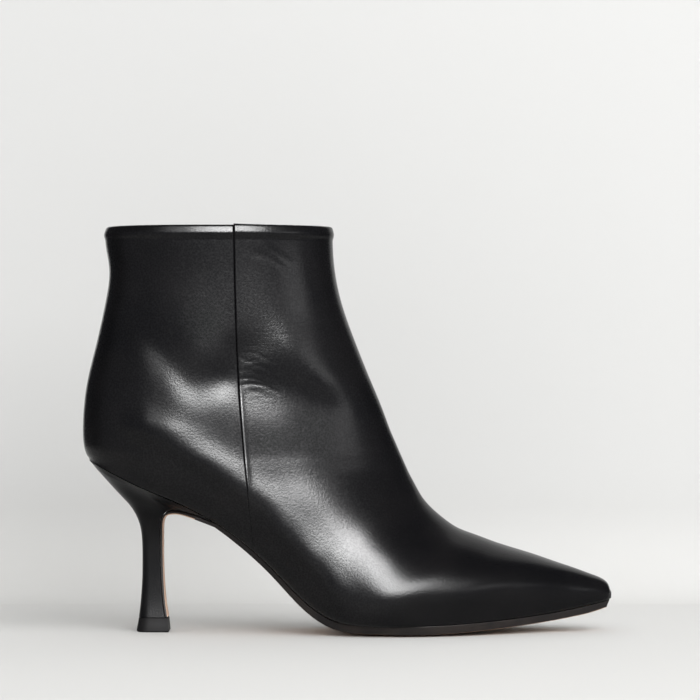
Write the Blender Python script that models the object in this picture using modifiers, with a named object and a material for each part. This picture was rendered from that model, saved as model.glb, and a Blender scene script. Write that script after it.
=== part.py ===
"""Right heeled ankle boot: a lasted leather upper, an insole, a thin outsole that runs down the heel
breast, a slim flared heel and its top piece.

Sizes are in millimetres and become metres where a mesh is made. x runs from the back of the counter
to the toe, y from the outer side (negative) to the inner side, z up from the floor.
"""

import math
from collections import namedtuple

import bmesh
import bpy
import numpy as np

MM = 0.001

# Driving sizes of the boot, EU size 38.
LENGTH = 258.0
BALL_WIDTH = 78.4
SEAT_HEIGHT = 84.7
INSTEP_HEIGHT = 92.0
BOOT_HEIGHT = 197.2

# Thicknesses and clearances. The lasting margin takes at most a share of the way to the middle.
GAP = 0.3
SEAT_GAP = 0.45
WALL = 1.9
INSOLE_THICKNESS = 2.0
INSOLE_GAP = 0.65
INSOLE_INSET = 2.9
INSOLE_HEEL = 20.6
LASTING_MARGIN = 6.5
MARGIN_LIMIT = 0.6

# Folded top edge: how far the wall stands proud at a depth below the collar.
Fold = namedtuple("Fold", "depth proud")
COLLAR_FOLD = (
    Fold(0.0, 0.0),
    Fold(1.0, 0.35),
    Fold(4.5, 0.35),
    Fold(5.0, 0.0),
)

# Heel and top piece. The heel's lip ends at a share of LENGTH, in per cent.
LIP_END = 24.8
TOP_PIECE_HEIGHT = 6.9
TOP_PIECE_FLARE = 1.1
TOP_PIECE_CHAMFER = 0.5

# Facets: spacing along the boot, points on each half of a section, samples where a place is searched.
SECTION_STEP = 7.2
SOLE_STEP = 6.6
HEEL_TURN_STEPS = 7
TOE_STEPS = 6
LOW_POINTS = 6
TOP_POINTS = 8
SOLE_COLUMNS = 6
INSOLE_STATIONS = 28
SAMPLES = 600
WELD = 0.01
SHARP_ANGLE = 40.0

# Sections round the leg, collar first. x is a share of LENGTH, z of BOOT_HEIGHT, half_width of
# BALL_WIDTH, all in per cent. belly is the share of the chord, from the back, where the section is
# widest; back_round and front_round are superellipse powers.
Leg = namedtuple("Leg", "back_x back_z front_x front_z half_width belly back_round front_round")
LEG_SECTIONS = (
    Leg(4.4, 100.0, 47.2, 100.0, 39.6, 0.45, 2.3, 2.1),
    Leg(4.2, 97.1, 47.2, 97.1, 39.4, 0.45, 2.3, 2.1),
    Leg(4.9, 90.3, 47.5, 90.3, 38.8, 0.45, 2.3, 2.1),
    Leg(4.2, 81.1, 48.8, 81.6, 38.7, 0.45, 2.3, 2.1),
    Leg(2.5, 71.0, 51.1, 72.8, 39.2, 0.44, 2.3, 2.05),
    Leg(0.7, 60.9, 54.1, 62.9, 40.3, 0.42, 2.3, 2.0),
    Leg(0.0, 51.7, 56.8, 54.3, 41.3, 0.40, 2.3, 1.95),
    Leg(0.1, 46.7, 58.1, 49.7, 42.0, 0.388, 2.3, 1.9),
)

# Sections over the foot, heel seat first. x is a share of LENGTH, seat_z of SEAT_HEIGHT, ridge_z of
# INSTEP_HEIGHT and the widths, measured from the heel's middle line, of BALL_WIDTH, all in per cent.
# feather is where upper and sole meet, tuck how roundly the wall turns in to it, from 0 to 1.
# low_round and top_round are superellipse powers.
Foot = namedtuple(
    "Foot",
    "seat_x seat_z ridge_x ridge_z ridge_y outer inner feather_outer feather_inner"
    " belly low_round top_round tuck",
)
FOOT_SECTIONS = (
    Foot(1.1, 100.0, 59.1, 100.0, 0.0, 42.5, 42.2, 0.0, 0.0, 0.378, 2.3, 1.872, 0.0),
    Foot(2.4, 97.5, 59.6, 96.7, 0.1, 42.6, 41.9, 16.1, 16.1, 0.373, 2.28, 1.858, 0.0),
    Foot(6.0, 92.3, 60.2, 92.9, 0.45, 42.6, 41.3, 27.8, 27.6, 0.365, 2.2, 1.835, 0.0),
    Foot(10.8, 85.2, 60.9, 88.4, 1.0, 42.5, 40.4, 32.3, 31.6, 0.356, 2.1, 1.805, 0.0),
    Foot(17.4, 76.6, 61.7, 83.5, 1.7, 42.3, 39.2, 32.9, 30.9, 0.348, 2.0, 1.775, 0.25),
    Foot(24.4, 65.9, 62.8, 77.7, 2.5, 42.1, 37.8, 32.1, 28.1, 0.345, 1.9, 1.757, 0.5),
    Foot(31.0, 51.8, 64.1, 71.3, 3.2, 42.2, 36.6, 31.1, 24.7, 0.346, 1.82, 1.75, 0.75),
    Foot(37.2, 34.1, 65.9, 65.4, 3.8, 43.5, 36.8, 31.4, 23.0, 0.35, 1.8, 1.76, 1.0),
    Foot(42.6, 17.9, 68.2, 59.8, 4.5, 46.4, 39.5, 33.9, 24.2, 0.34, 1.9, 1.8, 1.0),
    Foot(48.1, 8.5, 70.9, 54.7, 5.0, 49.2, 44.0, 38.8, 30.0, 0.30, 2.1, 1.85, 1.0),
    Foot(54.3, 7.0, 74.2, 51.1, 5.2, 50.0, 48.0, 43.9, 38.3, 0.27, 2.2, 1.9, 1.0),
    Foot(60.9, 6.7, 77.9, 47.2, 5.5, 47.7, 50.0, 46.2, 44.6, 0.26, 2.2, 1.95, 1.0),
    Foot(67.8, 7.0, 81.8, 43.7, 5.7, 42.9, 48.7, 43.1, 46.7, 0.26, 2.2, 2.05, 1.0),
    Foot(75.2, 8.1, 85.9, 40.1, 5.8, 34.7, 43.1, 34.9, 41.8, 0.27, 2.2, 2.15, 1.0),
    Foot(82.6, 9.9, 89.9, 36.2, 5.8, 25.5, 34.9, 24.5, 32.7, 0.28, 2.2, 2.25, 1.0),
    Foot(89.5, 12.4, 93.6, 32.7, 5.7, 16.5, 26.3, 14.3, 23.5, 0.30, 2.2, 2.3, 1.0),
    Foot(94.6, 15.1, 96.5, 29.7, 5.6, 11.0, 20.9, 8.7, 18.6, 0.33, 2.2, 2.3, 1.0),
    Foot(97.7, 17.2, 98.4, 27.4, 5.6, 7.2, 17.3, 5.4, 15.7, 0.36, 2.2, 2.2, 1.0),
    Foot(99.2, 18.4, 99.5, 24.3, 5.6, 3.9, 14.5, 2.7, 13.3, 0.40, 2.2, 2.1, 1.0),
    Foot(99.8, 18.9, 99.8, 21.3, 5.6, 0.9, 11.7, 0.3, 11.2, 0.45, 2.2, 2.0, 1.0),
)
HEEL_TURN_ROW = 3

# Middles of the heel's and the toe's round ends, measured along the boot.
HEEL_MIDDLE = FOOT_SECTIONS[HEEL_TURN_ROW].seat_x / 100 * LENGTH
TOE_MIDDLE = 0.955 * LENGTH

# Outsole by place along the foot: x is a share of LENGTH in per cent, the rest is in millimetres.
# inset is how far the sole's edge stands inside the feather line, bevel how far its lower edge does.
Sole = namedtuple("Sole", "x thickness inset bevel")
SOLE_STATIONS = (
    Sole(25.6, 2.0, 3.2, 0.8),
    Sole(30.0, 2.5, 3.0, 1.0),
    Sole(37.0, 2.5, 2.2, 1.2),
    Sole(43.0, 3.1, 1.2, 1.3),
    Sole(48.0, 3.7, 0.6, 1.3),
    Sole(60.0, 4.2, 0.4, 1.4),
    Sole(75.0, 3.8, 0.4, 1.3),
    Sole(90.0, 3.3, 0.5, 1.1),
    Sole(99.5, 3.2, 0.6, 1.0),
)
TOE_RAKE_FROM = 95.0
TOE_RAKE = 0.7
TOE_TURN_FROM = 96.5

# Crown of the sole: how far its middle drops below its edges, by share of LENGTH in per cent.
Crown = namedtuple("Crown", "x drop")
SOLE_CROWN = (
    Crown(42.0, 0.0),
    Crown(53.0, 1.9),
    Crown(70.0, 1.9),
    Crown(100.0, 0.57),
)

# Heel, from the top piece up to the seat, in millimetres. Each row is a loop with a round back and a
# flat breast; flap is the thickness of the outsole over the breast there.
Heel = namedtuple("Heel", "back_x back_z front_x front_z half_width flap")
HEEL_SECTIONS = (
    Heel(27.2, 7.2, 40.1, 7.2, 6.7, 1.2),
    Heel(28.1, 15.0, 38.9, 15.0, 5.7, 1.2),
    Heel(28.8, 26.0, 38.1, 26.0, 5.0, 1.2),
    Heel(28.9, 38.0, 37.7, 38.0, 4.9, 1.2),
    Heel(28.4, 48.0, 37.7, 47.5, 5.6, 1.2),
    Heel(26.6, 55.0, 37.9, 53.2, 7.2, 1.2),
    Heel(23.2, 61.0, 39.2, 57.0, 9.6, 1.3),
    Heel(18.2, 66.6, 42.4, 59.0, 13.0, 1.4),
    Heel(12.0, 73.4, 48.2, 59.3, 17.0, 1.5),
    Heel(6.6, 79.6, 56.0, 57.4, 21.5, 1.7),
)
HEEL_BACK_ROUND = 2.5
HEEL_BACK_SHARE = 0.42
HEEL_BACK_POINTS = 6
HEEL_SIDE_POINTS = 3
HEEL_STEPS = 2

# Side seam, a groove between the front and back panels, in the side view: x is a share of LENGTH and
# z of BOOT_HEIGHT, in per cent.
SEAM_RADIUS = 0.9
SEAM_RISE = 4.0
Seam = namedtuple("Seam", "x z")
SIDE_SEAM = (
    Seam(28.9, 101.5),
    Seam(29.2, 80.0),
    Seam(29.9, 60.0),
    Seam(31.0, 42.0),
    Seam(32.0, 29.0),
    Seam(32.6, 19.0),
)
SEAM_POINTS = 34

# A section of the last in millimetres, and the two sides of the boot.
Section = namedtuple("Section", Foot._fields)
OUTER = -1
INNER = 1


def cubic(knots, rows, places):
    """Natural cubic spline through the rows, read at the given places."""
    knots = np.asarray(knots, float)
    rows = np.asarray(rows, float)
    count = len(knots)
    steps = np.diff(knots)
    slopes = np.diff(rows, axis=0) / steps[:, None]
    matrix = np.eye(count)
    right = np.zeros_like(rows)
    for i in range(1, count - 1):
        matrix[i, i - 1] = steps[i - 1]
        matrix[i, i] = 2 * (steps[i - 1] + steps[i])
        matrix[i, i + 1] = steps[i]
        right[i] = 6 * (slopes[i] - slopes[i - 1])
    bend = np.linalg.solve(matrix, right)
    places = np.asarray(places, float)
    span = np.clip(np.searchsorted(knots, places, side="right") - 1, 0, count - 2)
    width = steps[span][:, None]
    after = (places - knots[span])[:, None]
    before = width - after
    return (
        bend[span] * before**3 / (6 * width)
        + bend[span + 1] * after**3 / (6 * width)
        + (rows[span] / width - bend[span] * width / 6) * before
        + (rows[span + 1] / width - bend[span + 1] * width / 6) * after
    )


def leg_in_mm(row):
    half = row.half_width / 100 * BALL_WIDTH
    return Section(
        row.back_x / 100 * LENGTH,
        row.back_z / 100 * BOOT_HEIGHT,
        row.front_x / 100 * LENGTH,
        row.front_z / 100 * BOOT_HEIGHT,
        0.0,
        half,
        half,
        0.0,
        0.0,
        row.belly,
        row.back_round,
        row.front_round,
        0.0,
    )


def foot_in_mm(row):
    widths = [share / 100 * BALL_WIDTH for share in row[4:9]]
    return Section(
        row.seat_x / 100 * LENGTH,
        row.seat_z / 100 * SEAT_HEIGHT,
        row.ridge_x / 100 * LENGTH,
        row.ridge_z / 100 * INSTEP_HEIGHT,
        *widths,
        row.belly,
        row.low_round,
        row.top_round,
        row.tuck,
    )


class Last:
    """The smooth outer form of the upper, read at any place along its run of sections."""

    def __init__(self):
        self.rows = [leg_in_mm(row) for row in LEG_SECTIONS]
        self.rows += [foot_in_mm(row) for row in FOOT_SECTIONS]
        self.corner = len(LEG_SECTIONS)
        self.turn = self.corner + HEEL_TURN_ROW
        self.knots = [0.0]
        for before, after in zip(self.rows, self.rows[1:]):
            seat_run = math.hypot(after.seat_x - before.seat_x, after.seat_z - before.seat_z)
            ridge_run = math.hypot(after.ridge_x - before.ridge_x, after.ridge_z - before.ridge_z)
            self.knots.append(self.knots[-1] + (seat_run + ridge_run) / 2)

    def sections(self, places):
        """Sections at these places. Only the foot has a feather edge, which turns round the heel."""
        columns = cubic(self.knots, self.rows, places)
        widths = [(row.feather_outer, row.feather_inner) for row in self.rows[self.turn :]]
        turn = self.knots[self.turn]
        feathers = cubic(self.knots[self.turn :], widths, np.maximum(places, turn))
        found = []
        for place, column, (outer, inner) in zip(places, columns, feathers):
            section = Section(*column)
            share = self.heel_share(place, section)
            found.append(section._replace(feather_outer=share * outer, feather_inner=share * inner))
        return found

    def heel_share(self, place, section):
        """Share of the heel's width that the feather line has: none up the leg, all past the turn."""
        if place <= self.knots[self.corner]:
            return 0.0
        if place >= self.knots[self.turn]:
            return 1.0
        middle = self.rows[self.turn].seat_x
        behind = (middle - section.seat_x) / (middle - self.rows[self.corner].seat_x)
        return math.sqrt(max(0.0, 1 - behind**2))

    def leg_places(self):
        """From the collar down to the heel seat, with the steps of the folded edge."""
        fold = [row.depth for row in COLLAR_FOLD]
        end = self.knots[self.corner]
        rest = np.linspace(fold[-1], end, round((end - fold[-1]) / SECTION_STEP) + 1)[1:]
        return fold + list(rest)

    def foot_places(self):
        """From the heel seat to the toe, closer together where the feather line turns."""
        start, turn, end = self.knots[self.corner], self.knots[self.turn], self.knots[-1]
        dense = np.linspace(start, turn, SAMPLES)
        seat_x = np.array([section.seat_x for section in self.sections(dense)])
        angles = np.linspace(0, math.pi / 2, HEEL_TURN_STEPS + 1)[1:]
        around = seat_x[-1] - (seat_x[-1] - seat_x[0]) * np.cos(angles)
        places = list(np.interp(around, seat_x, dense))
        tip = self.knots[-3]
        places += list(np.linspace(turn, tip, round((tip - turn) / SECTION_STEP) + 1)[1:])
        return places + list(np.linspace(tip, end, TOE_STEPS + 1)[1:])


def side_of(section, side):
    """Greatest half width and feather half width on one side of a section."""
    if side == OUTER:
        return section.outer, section.feather_outer
    return section.inner, section.feather_inner


def half_width(section, along, side):
    """Distance from the heel's middle line at a share of the chord from seat to ridge.

    Below the widest place the wall is part of an oval that the feather cuts, or turns in to the feather.
    """
    widest, feather = side_of(section, side)
    if along < section.belly:
        power = section.low_round
        below = 1 - along / section.belly
        rounded = feather + (widest - feather) * (1 - below**power) ** (1 / power)
        cut = below * (1 - min(feather / widest, 1.0) ** power) ** (1 / power)
        straight = widest * (1 - cut**power) ** (1 / power)
        return straight + section.tuck * (rounded - straight)
    above = (along - section.belly) / (1 - section.belly)
    full = max(0.0, 1 - above**section.top_round) ** (1 / section.top_round)
    ridge = side * section.ridge_y
    return ridge + (widest - ridge) * full


def shares_along(section):
    """Shares of the chord where a section has its points, spaced round the curve."""
    shares = []
    for angle in np.linspace(0, math.pi / 2, LOW_POINTS + 1):
        shares.append(section.belly * (1 - max(0.0, math.cos(angle)) ** (2 / section.low_round)))
    for angle in np.linspace(0, math.pi / 2, TOP_POINTS + 1)[1:]:
        shares.append(section.belly + (1 - section.belly) * math.sin(angle) ** (2 / section.top_round))
    shares[-1] = 1.0
    return shares


def section_point(section, along, side):
    x = section.seat_x + along * (section.ridge_x - section.seat_x)
    z = section.seat_z + along * (section.ridge_z - section.seat_z)
    return np.array((x, side * half_width(section, along, side), z))


def widened(section, by):
    """The section with its outline moved out by a distance."""
    run = math.hypot(section.ridge_x - section.seat_x, section.ridge_z - section.seat_z)
    forward = (section.ridge_x - section.seat_x) / run * by
    upward = (section.ridge_z - section.seat_z) / run * by
    return section._replace(
        seat_x=section.seat_x - forward,
        seat_z=section.seat_z - upward,
        ridge_x=section.ridge_x + forward,
        ridge_z=section.ridge_z + upward,
        outer=section.outer + by,
        inner=section.inner + by,
    )


class Seat:
    """The surface under the foot, at the feather line's height, and the crown of the sole below it."""

    def __init__(self, last):
        sections = last.sections(np.linspace(last.knots[last.corner], last.knots[-1], SAMPLES))
        self.x = [section.seat_x for section in sections]
        self.z = [section.seat_z for section in sections]
        self.widths = {
            OUTER: [section.feather_outer for section in sections],
            INNER: [section.feather_inner for section in sections],
        }

    def height(self, x):
        return float(np.interp(x, self.x, self.z))

    def half(self, x, side):
        return float(np.interp(x, self.x, self.widths[side]))

    def crown(self, x):
        """How far the middle of the sole lies below its edges: most at the ball, none at the heel."""
        places = [row.x / 100 * LENGTH for row in SOLE_CROWN]
        return float(np.interp(x, places, [row.drop for row in SOLE_CROWN]))

    def dip(self, x, y):
        """Depth of the crown at a place across the foot."""
        side = OUTER if y < 0 else INNER
        half = max(self.half(x, side), 1.0)
        return self.crown(x) * max(0.0, 1 - (y / half) ** 2)

    def up(self, x):
        """Direction square to the seat in the side view."""
        rise = (self.height(x + 1) - self.height(x - 1)) / 2
        return np.array((-rise, 0.0, 1.0)) / math.hypot(rise, 1.0)

    def point(self, x, y, lift):
        """A place on the seat, lifted square to it."""
        return np.array((x, y, self.height(x))) + lift * self.up(x)


def grid_faces(rows):
    """Quads between neighbouring rows of vertices, without the ones that collapse to a line."""
    for upper, lower in zip(rows, rows[1:]):
        for j in range(len(upper) - 1):
            corners = (upper[j], lower[j], lower[j + 1], upper[j + 1])
            face = list(dict.fromkeys(corners))
            if len(face) > 2:
                yield face


def mesh_object(name, mesh_builder, material):
    """A new object of the boot, whose mesh the builder function fills."""
    bm = bmesh.new()
    mesh_builder(bm)
    mesh = bpy.data.meshes.new(name)
    bm.to_mesh(mesh)
    bm.free()
    mesh.shade_smooth()
    mesh.set_sharp_from_angle(angle=math.radians(SHARP_ANGLE))
    mesh.materials.append(material)
    return bpy.data.objects.new(name, mesh)


def add_solidify(piece, thickness):
    """Gives an open surface its thickness, on the side away from its normals."""
    shell = piece.modifiers.new("Thickness", "SOLIDIFY")
    shell.thickness = thickness * MM
    shell.offset = -1
    shell.use_even_offset = True
    shell.use_rim = True


def vertex(bm, point):
    return bm.verts.new(tuple(float(value) * MM for value in point))


def toward_middle(point, seat):
    """A feather point moved in under the foot by the lasting margin."""
    heel_middle = np.array((HEEL_MIDDLE, 0.0))
    toe_middle = np.array((TOE_MIDDLE, FOOT_SECTIONS[-1].ridge_y / 100 * BALL_WIDTH))
    line = toe_middle - heel_middle
    place = np.array(point[:2])
    share = np.clip(np.dot(place - heel_middle, line) / np.dot(line, line), 0, 1)
    inward = heel_middle + share * line - place
    place = place + inward * min(LASTING_MARGIN / np.linalg.norm(inward), MARGIN_LIMIT)
    return seat.point(place[0], place[1], 0.0)


def fold_at(place):
    """How far the folded top edge stands proud at a place below the collar."""
    return float(np.interp(place, [row.depth for row in COLLAR_FOLD], [row.proud for row in COLLAR_FOLD]))


def upper_surface(last, seat):
    """Builder of the upper's outer surface: leg loops, foot arches, lasting margin and toe end."""

    def leg_row(bm, section):
        shares = shares_along(section)
        back = vertex(bm, section_point(section, 0.0, OUTER))
        outer = [vertex(bm, section_point(section, share, OUTER)) for share in shares[1:]]
        inner = [vertex(bm, section_point(section, share, INNER)) for share in shares[1:-1]]
        return [back] + outer + inner[::-1] + [back]

    def foot_row(bm, section):
        shares = shares_along(section)
        outer_points = [section_point(section, share, OUTER) for share in shares]
        inner_points = [section_point(section, share, INNER) for share in shares[:-1]]
        points = [toward_middle(outer_points[0], seat)] + outer_points
        points += inner_points[::-1] + [toward_middle(inner_points[0], seat)]
        return [vertex(bm, point) for point in points]

    def build(bm):
        legs = []
        for place, section in zip(last.leg_places(), last.sections(last.leg_places())):
            legs.append(leg_row(bm, widened(section, fold_at(place))))
        feet = [foot_row(bm, section) for section in last.sections(last.foot_places())]
        margin = vertex(bm, toward_middle(section_point(last.rows[last.corner], 0.0, OUTER), seat))
        corner = [margin] + legs[-1] + [margin]
        for face in list(grid_faces(legs)) + list(grid_faces([corner] + feet)):
            bm.faces.new(face)
        tip = feet[-1]
        half = len(tip) // 2
        for face in grid_faces([tip[: half + 1], tip[half:][::-1]]):
            bm.faces.new(face)

    return build


def seam_path(last, side):
    """Points on the upper's outer surface along its side seam, from above the collar to the feather."""
    places = np.linspace(last.knots[0] - SEAM_RISE, last.knots[-1], SAMPLES)
    sections = last.sections(places)
    knots = [row.z for row in SIDE_SEAM]
    heights = np.linspace(knots[0], knots[-1], SEAM_POINTS)
    shares = cubic(np.negative(knots), [(row.x,) for row in SIDE_SEAM], -heights)[:, 0]
    path = []
    for share, height in zip(shares, heights):
        x, z = share / 100 * LENGTH, height / 100 * BOOT_HEIGHT
        best = min(sections, key=lambda section: off_chord(section, x, z))
        run_x, run_z = best.ridge_x - best.seat_x, best.ridge_z - best.seat_z
        along = ((x - best.seat_x) * run_x + (z - best.seat_z) * run_z) / (run_x**2 + run_z**2)
        path.append((x, side * half_width(best, max(along, 0.0), side), z))
    return path


def off_chord(section, x, z):
    """Distance of a place in the side view from a section's chord."""
    run_x, run_z = section.ridge_x - section.seat_x, section.ridge_z - section.seat_z
    along = ((x - section.seat_x) * run_x + (z - section.seat_z) * run_z) / (run_x**2 + run_z**2)
    along = min(max(along, 0.0), 1.0)
    return math.hypot(x - section.seat_x - along * run_x, z - section.seat_z - along * run_z)


def seam_cutter(name, path, collection):
    """A thin tube along the seam, as a closed mesh that cuts its groove."""
    curve = bpy.data.curves.new(name, "CURVE")
    curve.dimensions = "3D"
    curve.bevel_depth = SEAM_RADIUS * MM
    curve.bevel_resolution = 1
    curve.use_fill_caps = True
    spline = curve.splines.new("POLY")
    spline.points.add(len(path) - 1)
    for point, place in zip(spline.points, path):
        point.co = (*(value * MM for value in place), 1)
    guide = bpy.data.objects.new(name + "_guide", curve)
    collection.objects.link(guide)
    bpy.context.view_layer.update()
    graph = bpy.context.evaluated_depsgraph_get()
    mesh = bpy.data.meshes.new_from_object(guide.evaluated_get(graph))
    bpy.data.objects.remove(guide)
    bm = bmesh.new()
    bm.from_mesh(mesh)
    bmesh.ops.remove_doubles(bm, verts=bm.verts, dist=WELD * MM)
    bmesh.ops.recalc_face_normals(bm, faces=bm.faces)
    bm.to_mesh(mesh)
    bm.free()
    cutter = bpy.data.objects.new(name, mesh)
    cutter.hide_render = True
    cutter.display_type = "WIRE"
    collection.objects.link(cutter)
    return cutter


def loft(bm, loops):
    """A closed solid through loops of equal length, each out along one side and back along the other."""
    rings = [[vertex(bm, point) for point in loop] for loop in loops]
    for face in grid_faces([ring + ring[:1] for ring in rings]):
        bm.faces.new(face)
    half = len(rings[0]) // 2
    for ring in (rings[0], rings[-1]):
        for face in grid_faces([ring[:half], ring[half:][::-1]]):
            bm.faces.new(face)
    bmesh.ops.remove_doubles(bm, verts=bm.verts, dist=WELD * MM)
    bmesh.ops.recalc_face_normals(bm, faces=bm.faces)


def insole_surface(seat):
    """Builder of the insole's top face, just inside the upper's wall and above its lasting margin."""
    lift = WALL + INSOLE_GAP + INSOLE_THICKNESS
    turns = np.linspace(0, math.pi / 2, HEEL_TURN_STEPS)[1:]
    stations = [(HEEL_MIDDLE - INSOLE_HEEL * math.cos(turn), HEEL_MIDDLE, math.sin(turn)) for turn in turns]
    stations += [(x, x, 1.0) for x in np.linspace(HEEL_MIDDLE, TOE_MIDDLE, INSOLE_STATIONS)[1:]]

    def build(bm):
        rows = []
        for x, widest_x, share in stations:
            outer = share * (seat.half(widest_x, OUTER) - INSOLE_INSET)
            inner = share * (seat.half(widest_x, INNER) - INSOLE_INSET)
            across = np.linspace(-outer, inner, SOLE_COLUMNS + 1)
            rows.append([vertex(bm, seat.point(x, y, lift)) for y in across])
        for face in grid_faces(rows):
            bm.faces.new(face)

    return build


def heel_loop(row):
    """One loop of the heel: round behind, straight sides, flat across the breast."""
    shares = []
    for angle in np.linspace(0, math.pi / 2, HEEL_BACK_POINTS + 1)[1:]:
        shares.append(HEEL_BACK_SHARE * (1 - max(0.0, math.cos(angle)) ** (2 / HEEL_BACK_ROUND)))
    shares += list(np.linspace(HEEL_BACK_SHARE, 1, HEEL_SIDE_POINTS + 1)[1:])
    outer, inner = [], []
    for share in shares:
        x = row.back_x + share * (row.front_x - row.back_x)
        z = row.back_z + share * (row.front_z - row.back_z)
        before = max(0.0, 1 - share / HEEL_BACK_SHARE)
        half = row.half_width * (1 - before**HEEL_BACK_ROUND) ** (1 / HEEL_BACK_ROUND)
        outer.append((x, -half, z))
        inner.append((x, half, z))
    back = (row.back_x, 0.0, row.back_z)
    return [back] + outer + inner[::-1] + [back]


def seat_loop(seat):
    """The heel's top edge: the feather line from the back to the lip, one gap below the upper."""
    back = seat.x[0] + GAP
    front = LIP_END / 100 * LENGTH
    turns = np.linspace(0, math.pi / 2, HEEL_BACK_POINTS + 1)
    stations = list(HEEL_MIDDLE - (HEEL_MIDDLE - back) * np.cos(turns))
    stations += list(np.linspace(HEEL_MIDDLE, front, HEEL_SIDE_POINTS + 1)[1:])
    outer = [seat.point(x, GAP - seat.half(x, OUTER), -SEAT_GAP) for x in stations[1:]]
    inner = [seat.point(x, seat.half(x, INNER) - GAP, -SEAT_GAP) for x in stations[1:]]
    tail = seat.point(back, 0.0, -SEAT_GAP)
    return [tail] + outer + inner[::-1] + [tail]


def heel_rows():
    """The heel's rows, with steps between them."""
    knots = np.arange(len(HEEL_SECTIONS))
    places = np.linspace(0, knots[-1], HEEL_STEPS * knots[-1] + 1)
    return [Heel(*row) for row in cubic(knots, HEEL_SECTIONS, places)]


def heel_solid(seat):
    """Builder of the heel: its rows from the top piece up, closed by the cupped seat."""

    def build(bm):
        loft(bm, [heel_loop(row) for row in heel_rows()] + [seat_loop(seat)])

    return build


def top_piece_solid(bm):
    """The flared block under the heel, with a small chamfer round the floor."""
    top = HEEL_SECTIONS[0]._replace(back_z=TOP_PIECE_HEIGHT, front_z=TOP_PIECE_HEIGHT)
    top = top._replace(front_x=top.front_x + GAP + top.flap)
    foot = top._replace(
        back_x=top.back_x - TOP_PIECE_FLARE,
        front_x=top.front_x + TOP_PIECE_FLARE / 2,
        half_width=top.half_width + TOP_PIECE_FLARE,
        back_z=TOP_PIECE_CHAMFER,
        front_z=TOP_PIECE_CHAMFER,
    )
    floor = foot._replace(
        back_x=foot.back_x + TOP_PIECE_CHAMFER,
        front_x=foot.front_x - TOP_PIECE_CHAMFER,
        half_width=foot.half_width - TOP_PIECE_CHAMFER,
        back_z=0.0,
        front_z=0.0,
    )
    loft(bm, [heel_loop(row) for row in (floor, foot, top)])


def sole_rows(seat):
    """Loops of the outsole under the foot, from the toe back to the heel's lip."""
    shares = [row.x for row in SOLE_STATIONS]
    waist, tip = shares[0], shares[-1]
    turns = np.linspace(0, math.pi / 2, TOE_STEPS + 1)
    steps = round((TOE_TURN_FROM - waist) / 100 * LENGTH / SOLE_STEP)
    places = list(TOE_TURN_FROM + (tip - TOE_TURN_FROM) * np.cos(turns))
    places += list(np.linspace(TOE_TURN_FROM, waist, steps + 1)[1:])
    for place, row in zip(places, cubic(shares, SOLE_STATIONS, places)):
        station = Sole(*row)
        x = place / 100 * LENGTH
        rake = TOE_RAKE * float(np.interp(place, (TOE_RAKE_FROM, tip), (0.0, 1.0)))
        yield sole_loop(seat, x, station, rake)


def sole_loop(seat, x, station, rake):
    """Across the sole's top face and back along its bottom, which is never below the floor."""
    outer = seat.half(x, OUTER) - station.inset
    inner = seat.half(x, INNER) - station.inset
    top, bottom = [], []
    for y in np.linspace(-outer, inner, SOLE_COLUMNS + 1):
        half = outer if y < 0 else inner
        top.append(seat.point(x, y, -SEAT_GAP))
        low = seat.point(x, y, -SEAT_GAP - station.thickness - seat.dip(x, y))
        low[0] -= rake * station.thickness
        low[1] *= 1 - station.bevel / max(half, station.bevel * 2)
        low[2] = max(low[2], 0.0)
        bottom.append(low)
    return top + bottom[::-1]


def flap_rows():
    """Loops of the outsole under the heel's lip and down its breast to the top piece."""
    rows = heel_rows()[::-1]
    fronts = np.array([(row.front_x, row.front_z) for row in rows])
    runs = np.gradient(fronts, axis=0)
    for row, front, run in zip(rows, fronts, runs):
        out = np.array((-run[1], run[0])) / np.linalg.norm(run)
        near = front + out * GAP
        far = front + out * (GAP + row.flap)
        across = np.linspace(-1, 1, SOLE_COLUMNS + 1) * (row.half_width - GAP)
        top = [(near[0], y, near[1]) for y in across]
        bottom = [(far[0], y, max(far[1], rows[-1].front_z)) for y in across]
        yield top + bottom[::-1]


def outsole_solid(seat):
    """Builder of the outsole: a bevelled strip along the foot and down the heel breast."""

    def build(bm):
        loft(bm, list(sole_rows(seat)) + list(flap_rows()))

    return build


def material(name, color, roughness):
    """A plain finish with the piece's colour and gloss."""
    finish = bpy.data.materials.new(name)
    finish.use_nodes = True
    shader = finish.node_tree.nodes["Principled BSDF"]
    shader.inputs["Base Color"].default_value = (*color, 1)
    shader.inputs["Roughness"].default_value = roughness
    shader.inputs["Metallic"].default_value = 0
    return finish


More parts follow.
